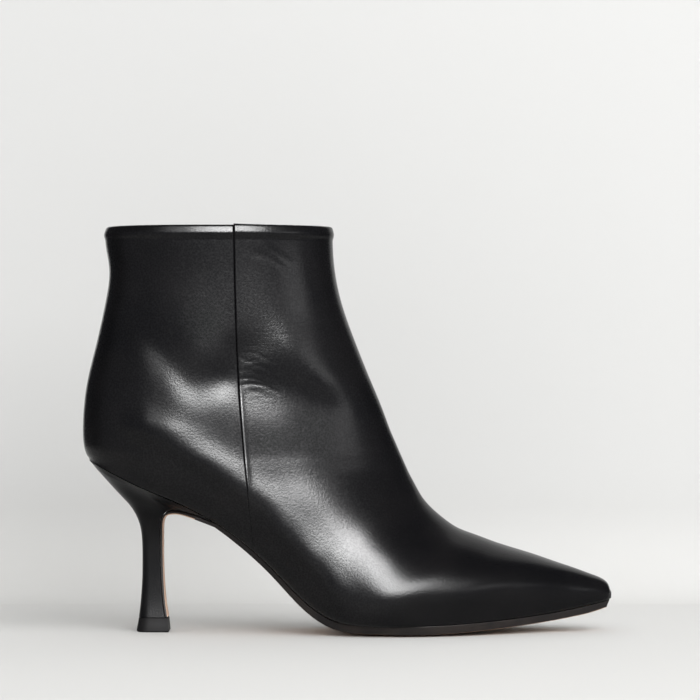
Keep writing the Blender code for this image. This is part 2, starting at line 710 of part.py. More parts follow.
def main():
    for old in list(bpy.data.objects):
        bpy.data.objects.remove(old)
    boot = bpy.data.collections.new("heeled_ankle_boot")
    cutters = bpy.data.collections.new("cutters")
    bpy.context.scene.collection.children.link(boot)
    bpy.context.scene.collection.children.link(cutters)

    last = Last()
    seat = Seat(last)
    leather = material("upper_leather", (0.012, 0.012, 0.013), 0.42)
    sock = material("insole_leather", (0.45, 0.33, 0.24), 0.6)
    sole_leather = material("outsole_leather", (0.55, 0.38, 0.28), 0.5)
    cover = material("heel_leather", (0.012, 0.012, 0.013), 0.4)
    tread = material("top_piece_rubber", (0.02, 0.02, 0.02), 0.5)

    upper = mesh_object("upper", upper_surface(last, seat), leather)
    add_solidify(upper, WALL)
    insole = mesh_object("insole", insole_surface(seat), sock)
    add_solidify(insole, INSOLE_THICKNESS)
    outsole = mesh_object("outsole", outsole_solid(seat), sole_leather)
    heel = mesh_object("heel", heel_solid(seat), cover)
    top_piece = mesh_object("top_piece", top_piece_solid, tread)

    for name, side in (("outer_seam", OUTER), ("inner_seam", INNER)):
        groove = upper.modifiers.new(name, "BOOLEAN")
        groove.operation = "DIFFERENCE"
        groove.solver = "EXACT"
        groove.object = seam_cutter(name, seam_path(last, side), cutters)
    upper.modifiers.new("Even shading", "WEIGHTED_NORMAL").keep_sharp = True

    root = bpy.data.objects.new("boot_frame", None)
    boot.objects.link(root)
    corners = np.array([corner.co for corner in upper.data.vertices])
    middle = (corners.min(axis=0) + corners.max(axis=0)) / 2
    root.location = (-middle[0], -middle[1], 0)
    for piece in (upper, insole, outsole, heel, top_piece):
        boot.objects.link(piece)
        piece.parent = root
    for cutter in cutters.objects:
        cutter.parent = root


main()
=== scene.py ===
import math
from collections import namedtuple

import bpy
import numpy as np
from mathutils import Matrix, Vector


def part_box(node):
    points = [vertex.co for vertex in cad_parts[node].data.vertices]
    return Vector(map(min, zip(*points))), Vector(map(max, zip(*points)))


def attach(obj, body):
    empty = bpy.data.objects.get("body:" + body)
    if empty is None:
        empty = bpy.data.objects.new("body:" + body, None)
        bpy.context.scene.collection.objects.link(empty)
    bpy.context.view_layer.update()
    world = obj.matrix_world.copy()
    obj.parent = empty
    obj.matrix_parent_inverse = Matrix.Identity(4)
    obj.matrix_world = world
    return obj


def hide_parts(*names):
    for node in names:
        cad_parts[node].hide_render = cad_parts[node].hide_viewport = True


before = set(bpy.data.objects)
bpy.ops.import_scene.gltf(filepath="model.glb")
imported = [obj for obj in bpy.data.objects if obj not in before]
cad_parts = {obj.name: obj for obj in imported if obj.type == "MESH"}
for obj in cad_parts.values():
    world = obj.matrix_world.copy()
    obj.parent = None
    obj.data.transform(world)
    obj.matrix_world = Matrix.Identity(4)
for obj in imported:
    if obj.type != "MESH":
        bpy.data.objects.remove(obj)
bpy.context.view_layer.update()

# The upper: a front and a back panel of smooth black leather, sewn face to face down both sides,
# with the top edge folded in over tape. It is pulled over a pointed last, and its lower edge is
# turned in under the insole and cemented there.
MM = 0.001
LENGTH = 258.0
BALL_WIDTH = 78.4
SEAT_HEIGHT = 84.7
INSTEP_HEIGHT = 92.0
BOOT_HEIGHT = 197.2
WALL = 1.9
LASTING_MARGIN = 6.5
OUTER = -1
INNER = 1

# Sections of the last in per cent of the sizes above: round the leg from the collar down, then over
# the foot from heel to toe. Belly is the share of a section where it is widest, the rounds are the
# powers of its curves, and tuck is how fully it rounds in to the feather line.
Leg = namedtuple("Leg", "back_x back_z front_x front_z half_width belly back_round front_round")
LEG_SECTIONS = (
    Leg(4.4, 100.0, 47.2, 100.0, 39.6, 0.45, 2.3, 2.1),
    Leg(4.2, 97.1, 47.2, 97.1, 39.4, 0.45, 2.3, 2.1),
    Leg(4.9, 90.3, 47.5, 90.3, 38.8, 0.45, 2.3, 2.1),
    Leg(4.2, 81.1, 48.8, 81.6, 38.7, 0.45, 2.3, 2.1),
    Leg(2.5, 71.0, 51.1, 72.8, 39.2, 0.44, 2.3, 2.05),
    Leg(0.7, 60.9, 54.1, 62.9, 40.3, 0.42, 2.3, 2.0),
    Leg(0.0, 51.7, 56.8, 54.3, 41.3, 0.40, 2.3, 1.95),
    Leg(0.1, 46.7, 58.1, 49.7, 42.0, 0.388, 2.3, 1.9),
)
Foot = namedtuple(
    "Foot",
    "seat_x seat_z ridge_x ridge_z ridge_y outer inner feather_outer feather_inner"
    " belly low_round top_round tuck",
)
FOOT_SECTIONS = (
    Foot(1.1, 100.0, 59.1, 100.0, 0.0, 42.5, 42.2, 0.0, 0.0, 0.378, 2.3, 1.872, 0.0),
    Foot(2.4, 97.5, 59.6, 96.7, 0.1, 42.6, 41.9, 16.1, 16.1, 0.373, 2.28, 1.858, 0.0),
    Foot(6.0, 92.3, 60.2, 92.9, 0.45, 42.6, 41.3, 27.8, 27.6, 0.365, 2.2, 1.835, 0.0),
    Foot(10.8, 85.2, 60.9, 88.4, 1.0, 42.5, 40.4, 32.3, 31.6, 0.356, 2.1, 1.805, 0.0),
    Foot(17.4, 76.6, 61.7, 83.5, 1.7, 42.3, 39.2, 32.9, 30.9, 0.348, 2.0, 1.775, 0.25),
    Foot(24.4, 65.9, 62.8, 77.7, 2.5, 42.1, 37.8, 32.1, 28.1, 0.345, 1.9, 1.757, 0.5),
    Foot(31.0, 51.8, 64.1, 71.3, 3.2, 42.2, 36.6, 31.1, 24.7, 0.346, 1.82, 1.75, 0.75),
    Foot(37.2, 34.1, 65.9, 65.4, 3.8, 43.5, 36.8, 31.4, 23.0, 0.35, 1.8, 1.76, 1.0),
    Foot(42.6, 17.9, 68.2, 59.8, 4.5, 46.4, 39.5, 33.9, 24.2, 0.34, 1.9, 1.8, 1.0),
    Foot(48.1, 8.5, 70.9, 54.7, 5.0, 49.2, 44.0, 38.8, 30.0, 0.30, 2.1, 1.85, 1.0),
    Foot(54.3, 7.0, 74.2, 51.1, 5.2, 50.0, 48.0, 43.9, 38.3, 0.27, 2.2, 1.9, 1.0),
    Foot(60.9, 6.7, 77.9, 47.2, 5.5, 47.7, 50.0, 46.2, 44.6, 0.26, 2.2, 1.95, 1.0),
    Foot(67.8, 7.0, 81.8, 43.7, 5.7, 42.9, 48.7, 43.1, 46.7, 0.26, 2.2, 2.05, 1.0),
    Foot(75.2, 8.1, 85.9, 40.1, 5.8, 34.7, 43.1, 34.9, 41.8, 0.27, 2.2, 2.15, 1.0),
    Foot(82.6, 9.9, 89.9, 36.2, 5.8, 25.5, 34.9, 24.5, 32.7, 0.28, 2.2, 2.25, 1.0),
    Foot(89.5, 12.4, 93.6, 32.7, 5.7, 16.5, 26.3, 14.3, 23.5, 0.30, 2.2, 2.3, 1.0),
    Foot(94.6, 15.1, 96.5, 29.7, 5.6, 11.0, 20.9, 8.7, 18.6, 0.33, 2.2, 2.3, 1.0),
    Foot(97.7, 17.2, 98.4, 27.4, 5.6, 7.2, 17.3, 5.4, 15.7, 0.36, 2.2, 2.2, 1.0),
    Foot(99.2, 18.4, 99.5, 24.3, 5.6, 3.9, 14.5, 2.7, 13.3, 0.40, 2.2, 2.1, 1.0),
    Foot(99.8, 18.9, 99.8, 21.3, 5.6, 0.9, 11.7, 0.3, 11.2, 0.45, 2.2, 2.0, 1.0),
)

# A section's feather columns, and the number of sections that the heel's round takes.
Section = namedtuple("Section", Foot._fields)
FEATHERS = slice(7, 9)
HEEL_TURN = 3
leg_scale = np.array((LENGTH, BOOT_HEIGHT, LENGTH, BOOT_HEIGHT, BALL_WIDTH)) / 100
foot_scale = np.array((LENGTH, SEAT_HEIGHT, LENGTH, INSTEP_HEIGHT) + (BALL_WIDTH,) * 5) / 100
last_rows = []
for leg in LEG_SECTIONS:
    back_x, back_z, front_x, front_z, half = np.multiply(leg[:5], leg_scale)
    last_rows.append((back_x, back_z, front_x, front_z, 0, half, half, 0, 0, *leg[5:], 0))
for foot in FOOT_SECTIONS:
    last_rows.append((*np.multiply(foot[:9], foot_scale), *foot[9:]))
last_rows = np.array(last_rows)
last = Section(*last_rows.T)
corner_row = len(LEG_SECTIONS)
turn_row = corner_row + HEEL_TURN
seat_steps = np.hypot(np.diff(last.seat_x), np.diff(last.seat_z))
ridge_steps = np.hypot(np.diff(last.ridge_x), np.diff(last.ridge_z))
last_knots = np.concatenate([[0.0], np.cumsum((seat_steps + ridge_steps) / 2)])


def cubic(knots, rows, places):
    """Natural cubic spline through the rows, read at the given places."""
    knots, rows, places = (np.asarray(values, float) for values in (knots, rows, places))
    steps = np.diff(knots)
    slopes = np.diff(rows, axis=0) / steps[:, None]
    matrix, right = np.eye(len(knots)), np.zeros_like(rows)
    for i in range(1, len(knots) - 1):
        matrix[i, i - 1 : i + 2] = steps[i - 1], 2 * (steps[i - 1] + steps[i]), steps[i]
        right[i] = 6 * (slopes[i] - slopes[i - 1])
    bend = np.linalg.solve(matrix, right)
    span = np.clip(np.searchsorted(knots, places, side="right") - 1, 0, len(knots) - 2)
    width = steps[span][:, None]
    after = (places - knots[span])[:, None]
    before = width - after
    return (
        (bend[span] * before**3 + bend[span + 1] * after**3) / (6 * width)
        + (rows[span] / width - bend[span] * width / 6) * before
        + (rows[span + 1] / width - bend[span + 1] * width / 6) * after
    )


def sections(places):
    """Sections of the last at these places, as columns that spread over a section's points."""
    places = np.asarray(places, float)
    columns = cubic(last_knots, last_rows, places)
    turn = last_knots[turn_row]
    ahead = np.maximum(places, turn)
    feathers = cubic(last_knots[turn_row:], last_rows[turn_row:, FEATHERS], ahead)
    middle, back = last.seat_x[turn_row], last.seat_x[corner_row]
    behind = np.clip((middle - columns[:, 0]) / (middle - back), 0, 1)
    share = np.where(places >= turn, 1.0, np.sqrt(1 - behind**2))
    share[places <= last_knots[corner_row]] = 0
    columns[:, FEATHERS] = feathers * share[:, None]
    return Section(*columns.T[:, :, None])


def half_width(section, along, side):
    """Distance from the heel's middle line at a share of the chord from seat to ridge."""
    widest = section.outer if side == OUTER else section.inner
    feather = section.feather_outer if side == OUTER else section.feather_inner
    power = section.low_round
    below = np.clip(1 - along / section.belly, 0, 1)
    rounded = feather + (widest - feather) * (1 - below**power) ** (1 / power)
    cut = below * (1 - np.minimum(feather / widest, 1) ** power) ** (1 / power)
    straight = widest * (1 - cut**power) ** (1 / power)
    above = np.clip((along - section.belly) / (1 - section.belly), 0, 1)
    full = (1 - above**section.top_round) ** (1 / section.top_round)
    ridge = side * section.ridge_y
    low = straight + section.tuck * (rounded - straight)
    return np.where(along < section.belly, low, ridge + (widest - ridge) * full)


LOW_POINTS = 90
TOP_POINTS = 170


def quarter(count, start=0):
    """Angles of a quarter turn."""
    return np.linspace(start, math.pi / 2, count)


def half_sections(section, side):
    """Closely spaced points from the seat round one side to the ridge, for each section."""
    low_turn = quarter(LOW_POINTS)
    top_turn = quarter(TOP_POINTS)[1:]
    low = section.belly * (1 - np.abs(np.cos(low_turn)) ** (2 / section.low_round))
    top = section.belly + (1 - section.belly) * np.sin(top_turn) ** (2 / section.top_round)
    along = np.concatenate([low, top], axis=1)
    along[:, -1] = 1
    x = section.seat_x + along * (section.ridge_x - section.seat_x)
    z = section.seat_z + along * (section.ridge_z - section.seat_z)
    return np.stack([x, side * half_width(section, along, side), z], axis=2)


def arc_lengths(points):
    """Length along each row of points, from its start."""
    steps = np.linalg.norm(np.diff(points, axis=1), axis=2)
    return np.concatenate([np.zeros((len(points), 1)), np.cumsum(steps, axis=1)], axis=1)


def read_rows(lengths, values, wanted):
    """Values along each row at the wanted lengths."""
    found = np.empty(wanted.shape + values.shape[2:])
    for row in range(len(wanted)):
        for axis in range(values.shape[2]):
            found[row, :, axis] = np.interp(wanted[row], lengths[row], values[row, :, axis])
    return found


# Rows of the upper's mesh, in millimetres down the boot: close at the folded edge and the ankle's
# wrinkles, round the heel and at the snipped toe. A stretch is its ends and its number of rows.
EDGE_ROUND = 0.95
EDGE_ROWS = (
    EDGE_ROUND, 1.4, 1.7, 2.0, 2.3, 2.6, 2.9, 3.2, 3.5, 3.8, 4.1, 4.4, 4.7, 5.0, 5.3, 5.6, 6.2, 7.0
)
COUNTER_ROWS = 25
COUNTER_DENSE = 400
FOOT_ROWS = 130
TOE_ROWS = 12
corner, turn, toe = last_knots[corner_row], last_knots[turn_row], last_knots[-1]
near_toe = last_knots[-3]
leg_stretches = ((7.5, 54, 36), (54.6, 82, 46), (83, corner, 25))
leg_places = np.concatenate([EDGE_ROWS, *(np.linspace(*stretch) for stretch in leg_stretches)])
heel_dense = np.linspace(corner, turn, COUNTER_DENSE)
heel_seat = sections(heel_dense).seat_x[:, 0]
heel_turns = quarter(COUNTER_ROWS)[1:]
heel_x = heel_seat[-1] - (heel_seat[-1] - heel_seat[0]) * np.cos(heel_turns)
heel_places = np.interp(heel_x, heel_seat, heel_dense)
foot_run = np.linspace(turn, near_toe, FOOT_ROWS)[1:]
toe_run = near_toe + (toe - near_toe) * np.sin(quarter(TOE_ROWS)[1:])
foot_places = np.concatenate([heel_places, foot_run, toe_run])
upper_places = np.concatenate([leg_places, foot_places])
upper_sections = sections(upper_places)

# Side seam in the side view, x and z in per cent of length and height, with how far each panel's
# edge rolls in and how far the lips beside it stand proud, in millimetres.
Seam = namedtuple("Seam", "x z roll front_lip back_lip")
SIDE_SEAM = (
    Seam(28.9, 101.5, 0.75, 0.10, 0.10),
    Seam(29.2, 80.0, 0.80, 0.15, 0.10),
    Seam(29.9, 60.0, 0.80, 0.30, 0.10),
    Seam(31.0, 42.0, 0.60, 0.40, 0.05),
    Seam(32.0, 29.0, 0.28, 0.10, 0.04),
    Seam(32.6, 19.0, 0.12, 0.00, 0.00),
)
seam_heights = np.array([row.z for row in SIDE_SEAM]) / 100 * BOOT_HEIGHT


def seam_at(heights, column):
    """One column of the side seam's table, read at these heights."""
    values = [getattr(row, column) for row in SIDE_SEAM]
    return np.interp(heights, seam_heights[::-1], values[::-1])


def seam_x(heights):
    """Place of the side seam along the boot at these heights."""
    columns = [(row.x / 100 * LENGTH,) for row in SIDE_SEAM]
    flat = np.clip(heights, seam_heights[-1], seam_heights[0]).ravel()
    return cubic(-seam_heights, columns, -flat)[:, 0].reshape(heights.shape)


# Soft folds of the leather in the side view, in millimetres: three places on each, its half breadth
# above and below, and its height, below zero for a trough. The shaft sags in a V over the stiff
# counter, a long ridge runs down to the vamp, the ball bulges, and the ankle has a ridge and a
# trough in front. Fine wrinkles lie across the ankle and below the collar on the outer side.
Fold = namedtuple("Fold", "x0 z0 x1 z1 x2 z2 above below height")
FOLDS = (
    Fold(26, 149, 39, 137.5, 53, 122.5, 10, 7.5, -0.85),
    Fold(70, 125, 73, 128.5, 77, 133.5, 9, 8, -1.1),
    Fold(22, 106, 30, 104.5, 38, 103, 19, 9, 0.9),
    Fold(34, 98, 80, 68.5, 122, 23, 9, 5.5, 1.45),
    Fold(97, 48.5, 103, 43.5, 109, 38, 8.5, 5, 1),
    Fold(147, 36, 147, 24, 147, 13, 14, 17, 1.3),
    Fold(105, 136, 111, 129.5, 118, 122, 13, 8.5, 1),
    Fold(84, 120, 98, 117.5, 113, 112.5, 9.5, 13, -1.35),
)
WRINKLES = (
    Fold(80, 139.4, 82, 138.8, 84.5, 139.2, 0.7, 0.8, -0.03),
    Fold(80.5, 136.2, 84, 136, 87.5, 134.2, 0.7, 0.8, -0.05),
    Fold(88.5, 134.2, 91, 132.2, 93, 131.6, 0.6, 0.7, -0.04),
    Fold(79.5, 132.6, 82, 131.6, 84, 131.8, 0.7, 0.7, -0.05),
    Fold(85, 129.6, 88, 129.4, 92, 127, 0.7, 0.8, -0.05),
    Fold(79.5, 127.6, 82.5, 127.4, 85.5, 125.8, 0.6, 0.7, -0.05),
    Fold(90, 125, 93, 123.6, 98, 120.6, 0.7, 0.8, -0.05),
    Fold(80, 123.8, 84, 123.6, 88.5, 122, 0.7, 0.7, -0.07),
    Fold(80, 120.6, 87, 120.6, 94, 117.8, 0.8, 0.8, -0.08),
    Fold(83, 117.4, 86, 117.4, 89, 115.8, 0.7, 0.7, -0.05),
    Fold(87, 183, 92, 181, 96, 178.5, 1.3, 1.4, -0.12),
    Fold(93, 184.5, 97, 182.5, 101, 180, 1.3, 1.4, -0.10),
)
FOLD_STEPS = 31
FOLD_REACH = 3
FOLD_END = 2.0
FOLD_FADE = 14.0
INNER_FOLDS = 0.45


def fold_height(points, folds):
    """Height of these soft folds at the points, fading out past each fold's ends."""
    x, z = points[..., 0].ravel(), points[..., 2].ravel()
    height = np.zeros(len(x))
    share = np.linspace(0, 1, FOLD_STEPS)[:, None]
    for fold in folds:
        starts, middles, ends = (np.array(fold[i : i + 2]) for i in (0, 2, 4))
        control = 2 * middles - (starts + ends) / 2
        path = (1 - share) ** 2 * starts + 2 * share * (1 - share) * control + share**2 * ends
        fade = FOLD_END + max(fold.above, fold.below)
        reach = FOLD_REACH * fade
        (left, low), (right, high) = path.min(axis=0) - reach, path.max(axis=0) + reach
        near = np.where((x > left) & (x < right) & (z > low) & (z < high))[0]
        nearest, over, past = np.full((3, len(near)), np.inf)
        for start, step in zip(path, np.diff(path, axis=0)):
            length = np.hypot(*step)
            ahead = ((x[near] - start[0]) * step[0] + (z[near] - start[1]) * step[1]) / length
            aside = ((z[near] - start[1]) * step[0] - (x[near] - start[0]) * step[1]) / length
            inside = np.clip(ahead, 0, length)
            better = aside**2 + (ahead - inside) ** 2 < nearest
            nearest[better] = (aside**2 + (ahead - inside) ** 2)[better]
            over[better], past[better] = aside[better], (ahead - inside)[better]
        breadth = np.where(over > 0, fold.above, fold.below)
        height[near] += fold.height * np.exp(-((over / breadth) ** 2) - (past / fade) ** 2)
    return height.reshape(points.shape[:-1])


def soft_folds(points, side, from_middle, fine):
    """Folds of one side, fading out at the boot's middle line, with or without fine wrinkles."""
    fade = np.clip(from_middle / FOLD_FADE, 0, 1)
    height = fold_height(points, FOLDS) * (1 if side == OUTER else INNER_FOLDS)
    if fine and side == OUTER:
        height = height + fold_height(points, WRINKLES)
    return height * fade * fade * (3 - 2 * fade)


TINY = 1e-9


def unit(vectors):
    """The vectors at length one."""
    return vectors / np.maximum(np.linalg.norm(vectors, axis=-1, keepdims=True), TINY)


def outward(points, side):
    """Unit normals of a grid whose rows run down the boot and whose columns run to the front."""
    down = np.gradient(points, axis=0)
    along = np.gradient(points, axis=1)
    return unit(np.cross(along, down) * side)


# Depth below the top edge against how far the leather stands out there: a soft roll where the edge
# is folded in over its tape. Then the columns beside the seam and over the rest of each panel, and
# the sizes of the seam and of the smooth run from leg to foot in front.
EDGE_DEPTHS = (0.95, 1.4, 2.0, 2.6, 3.2, 3.8, 4.4, 5.0, 5.6, 6.2, 7.0)
EDGE_PROUD = (0.0, 0.13, 0.29, 0.44, 0.57, 0.64, 0.61, 0.49, 0.31, 0.13, 0.0)
PANEL_EDGE = np.array((0.0, 0.1, 0.22, 0.38, 0.58, 0.82, 1.1, 1.45, 1.9, 2.5, 3.3, 4.3))
FRONT_COLUMNS = 84
BACK_COLUMNS = 62
BACK_LEAST = 0.4
BACK_FOOT = 0.001
FRONT_RISE = 0.6
RISE_SPREAD = 14
RISE_DEPTH = 12
SEAM_DEPTH = 1.75
LIP_SPREAD = 2.2
EASE_WIDTH = 8.0
EASE_REACH = 40.0
EASE_FADE = 16.0
Panel = namedtuple("Panel", "tucked points normal lift")


def eased(points, places, distance):
    """The front panel with its widths evened out at the ankle, where the leg meets the foot."""
    weight = np.exp(-(((places[:, None] - places) / EASE_WIDTH) ** 2)) * np.gradient(places)
    even = weight @ points[:, :, 1] / weight.sum(axis=1, keepdims=True)
    near = np.clip((EASE_REACH - np.abs(places - corner)) / EASE_FADE, 0, 1)[:, None]
    share = near * np.clip(distance / EASE_FADE, 0, 1)
    points[:, :, 1] += share * share * (3 - 2 * share) * (even - points[:, :, 1])
    return points


def panel_grid(side, front):
    """One half of a panel as a grid of points, from the collar down and from the seam outward."""
    dense = half_sections(upper_sections, side)
    lengths = arc_lengths(dense)
    ahead = dense[:, :, 0] - seam_x(dense[:, :, 2])
    seam_length = np.zeros(len(dense))
    for row in range(len(dense)):
        if ahead[row, 0] < 0:
            first = np.argmax(ahead[row] >= 0)
            behind, before = ahead[row, first - 1], lengths[row, first - 1]
            share = -behind / (ahead[row, first] - behind)
            seam_length[row] = before + share * (lengths[row, first] - before)
    if front:
        run = lengths[:, -1] - seam_length
        spread = np.linspace(0, 1, FRONT_COLUMNS)[1:]
    else:
        # The back panel runs to a point at the seam's foot, one row below its last broad one.
        rows = slice(0, np.where(seam_length > BACK_LEAST)[0][-1] + 2)
        dense, lengths = dense[rows], lengths[rows]
        run = seam_length = np.maximum(seam_length[rows], BACK_FOOT)
        spread = np.linspace(0, 1, BACK_COLUMNS)[1:]
    edge = PANEL_EDGE[None, :] * np.minimum(1, run / (2 * PANEL_EDGE[-1]))[:, None]
    rest = edge[:, -1:] + (run[:, None] - edge[:, -1:]) * spread
    distance = np.concatenate([edge, rest], axis=1)
    wanted = seam_length[:, None] + (distance if front else -distance)
    places = upper_places[: len(dense)]
    points = read_rows(lengths, dense, wanted)
    if front:
        points = eased(points, places, distance)
    normal = outward(points, side if front else -side)
    on_middle = np.full(len(points), True) if front else places <= corner
    normal[on_middle, -1, 1] = 0
    normal = unit(normal)
    heights = points[:, :1, 2]
    beside_seam = (seam_length > 0)[:, None]
    roll = seam_at(heights, "roll")
    lip = seam_at(heights, "front_lip" if front else "back_lip")
    turned = np.clip(roll - distance, 0, None)
    lift = -(roll - np.sqrt(np.maximum(roll**2 - turned**2, 0)))
    lift = lift + lip * np.exp(-((distance / LIP_SPREAD) ** 2))
    lift = np.where(beside_seam, lift, 0)
    tuck = (SEAM_DEPTH - roll + lip) * beside_seam
    lift = lift + np.interp(places, EDGE_DEPTHS, EDGE_PROUD)[:, None]
    lift = lift + soft_folds(points, side, run[:, None] - distance, True)
    points = points + lift[:, :, None] * normal
    if front:
        near_top = np.clip(1 - places / RISE_DEPTH, 0, 1)[:, None]
        points[:, :, 2] += FRONT_RISE * np.exp(-distance / RISE_SPREAD) * near_top
    inward = tuck[:, :, None] * normal[:, :1]
    tucked = np.concatenate([points[:, :1] - inward, points[:, :1] - inward / 2], axis=1)
    return Panel(tucked, points, normal, lift)


EDGE_STEPS = 9
FOLDED_IN = (1.0, 3.0, 6.0, 10.0)


def rolled_edge(panel):
    """Rows that carry a panel's top edge over the collar and a little way down the inside."""
    rows = []
    points, normal = panel.points, panel.normal
    top, top_normal = points[0], normal[0]
    up = unit(points[0] - points[2])
    for angle in np.linspace(0, math.pi, EDGE_STEPS)[1:]:
        out = math.cos(angle) - 1
        rows.append(top + EDGE_ROUND * (out * top_normal + math.sin(angle) * up))
    for depth in FOLDED_IN:
        row = np.searchsorted(upper_places, depth + EDGE_ROUND)
        rows.append(points[row] - (WALL + panel.lift[row])[:, None] * normal[row])
    return np.array(rows[::-1] + [top])


# The seat under the foot, and the ends of the line along its middle that the margin is drawn to.
SEAT_DENSE = 900
TOE_MIDDLE = 0.955
MARGIN_MOST = 0.6
seat_run = sections(np.linspace(corner, toe, SEAT_DENSE))
heel_middle_x = last.seat_x[turn_row]
toe_middle_x = TOE_MIDDLE * LENGTH
toe_middle_y = last.ridge_y[-1]


def seat_line(x, values):
    """Values of the feather line, read along the boot."""
    return np.interp(x, seat_run.seat_x[:, 0], values)


def seat_up(x):
    """Direction square to the seat in the side view."""
    height = seat_run.seat_z[:, 0]
    rise = (seat_line(x + 1, height) - seat_line(x - 1, height)) / 2
    return np.stack([-rise, 0 * rise, 1 + 0 * rise], axis=-1) / np.hypot(rise, 1)[..., None]


def seat_point(x, y, lift):
    """A place on the seat under the foot, lifted square to it."""
    x, y = np.broadcast_arrays(np.asarray(x, float), np.asarray(y, float))
    base = np.stack([x, y, seat_line(x, seat_run.seat_z[:, 0])], axis=-1)
    return base + lift * seat_up(x)


def lasting_margin(side):
    """The strip that turns in under the foot all round one side, from the heel to the toe."""
    edge = half_sections(sections(np.concatenate([[corner], foot_places])), side)[:, 0, :2]
    middle = np.array((heel_middle_x, 0.0))
    line = np.array((toe_middle_x, toe_middle_y)) - middle
    share = np.clip((edge - middle) @ line / (line @ line), 0, 1)[:, None]
    inward = middle + share * line - edge
    reach = np.minimum(LASTING_MARGIN / np.linalg.norm(inward, axis=1), MARGIN_MOST)[:, None]
    rows = [seat_point(*(edge + inward * reach * part).T, 0.0) for part in (0.0, 0.5, 1.0)]
    return np.stack(rows, axis=1)


TOE_DOME = 0.5
TOE_RINGS = 8
TOE_UNDER = 9


def toe_end(outer_row, inner_row):
    """Rings that close the snipped toe with a slight dome, from its rim to its middle."""
    share = np.linspace(0, 1, TOE_UNDER)[1:, None]
    under = inner_row[0] + share * (outer_row[0] - inner_row[0])
    rim = np.concatenate([outer_row, inner_row[-2::-1], under])
    centre = rim.mean(axis=0)
    rings = []
    for angle in quarter(TOE_RINGS):
        ring = centre + (rim - centre) * math.cos(angle)
        ring[:, 0] += TOE_DOME * math.sin(angle)
        rings.append(ring)
    return np.array(rings)


class Skin:
    """Points and faces of one piece, gathered from grids, in millimetres of the last."""

    JOIN_DECIMALS = 4
    SHARP_DEGREES = 50

    def __init__(self):
        self.points, self.faces, self.kinds, self.count = [], [], [], 0

    def grid(self, points, flip=False, kind=0):
        """Adds the quads of a grid of points, turned over where its rows run the other way.

        The kind numbers the quads' material, one for all or one for each quad.
        """
        rows, columns = points.shape[:2]
        index = self.count + np.arange(rows * columns).reshape(rows, columns)
        corners = (index[:-1, :-1], index[1:, :-1], index[1:, 1:], index[:-1, 1:])
        quads = np.stack(corners, axis=-1).reshape(-1, 4)
        self.faces.append(quads[:, ::-1] if flip else quads)
        self.kinds.append(np.broadcast_to(kind, (rows - 1, columns - 1)).ravel())
        self.points.append(points.reshape(-1, 3))
        self.count += rows * columns

    def loft(self, loops, kind=0, end_kind=0):
        """Adds a solid through loops that each run out along one face and back along the other."""
        self.grid(np.concatenate([loops, loops[:, :1]], axis=1), kind=kind)
        half = loops.shape[1] // 2
        for end, flip in ((loops[0], True), (loops[-1], False)):
            self.grid(np.stack([end[:half], end[half:][::-1]]), flip, end_kind)

    def piece(self, name, *materials):
        """The finished object, with coincident points joined and collapsed faces left out."""
        points = np.concatenate(self.points)
        rounded = np.round(points, self.JOIN_DECIMALS)
        _, first, index = np.unique(rounded, axis=0, return_index=True, return_inverse=True)
        faces = index.reshape(-1)[np.concatenate(self.faces)]
        kinds = np.concatenate(self.kinds)
        kept, kept_kinds = [], []
        for face, kind in zip(faces.tolist(), kinds.tolist()):
            corners = list(dict.fromkeys(face))
            if len(corners) > 2:
                kept.append(corners)
                kept_kinds.append(kind)
        mesh = bpy.data.meshes.new(name)
        mesh.from_pydata((points[first] + (last_shift, 0, 0)) * MM, [], kept)
        mesh.polygons.foreach_set("material_index", kept_kinds)
        mesh.validate()
        mesh.shade_smooth()
        mesh.set_sharp_from_angle(angle=math.radians(self.SHARP_DEGREES))
        for material in materials:
            mesh.materials.append(material)
        piece = bpy.data.objects.new(name, mesh)
        bpy.context.scene.collection.objects.link(piece)
        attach(piece, "root")
        return piece


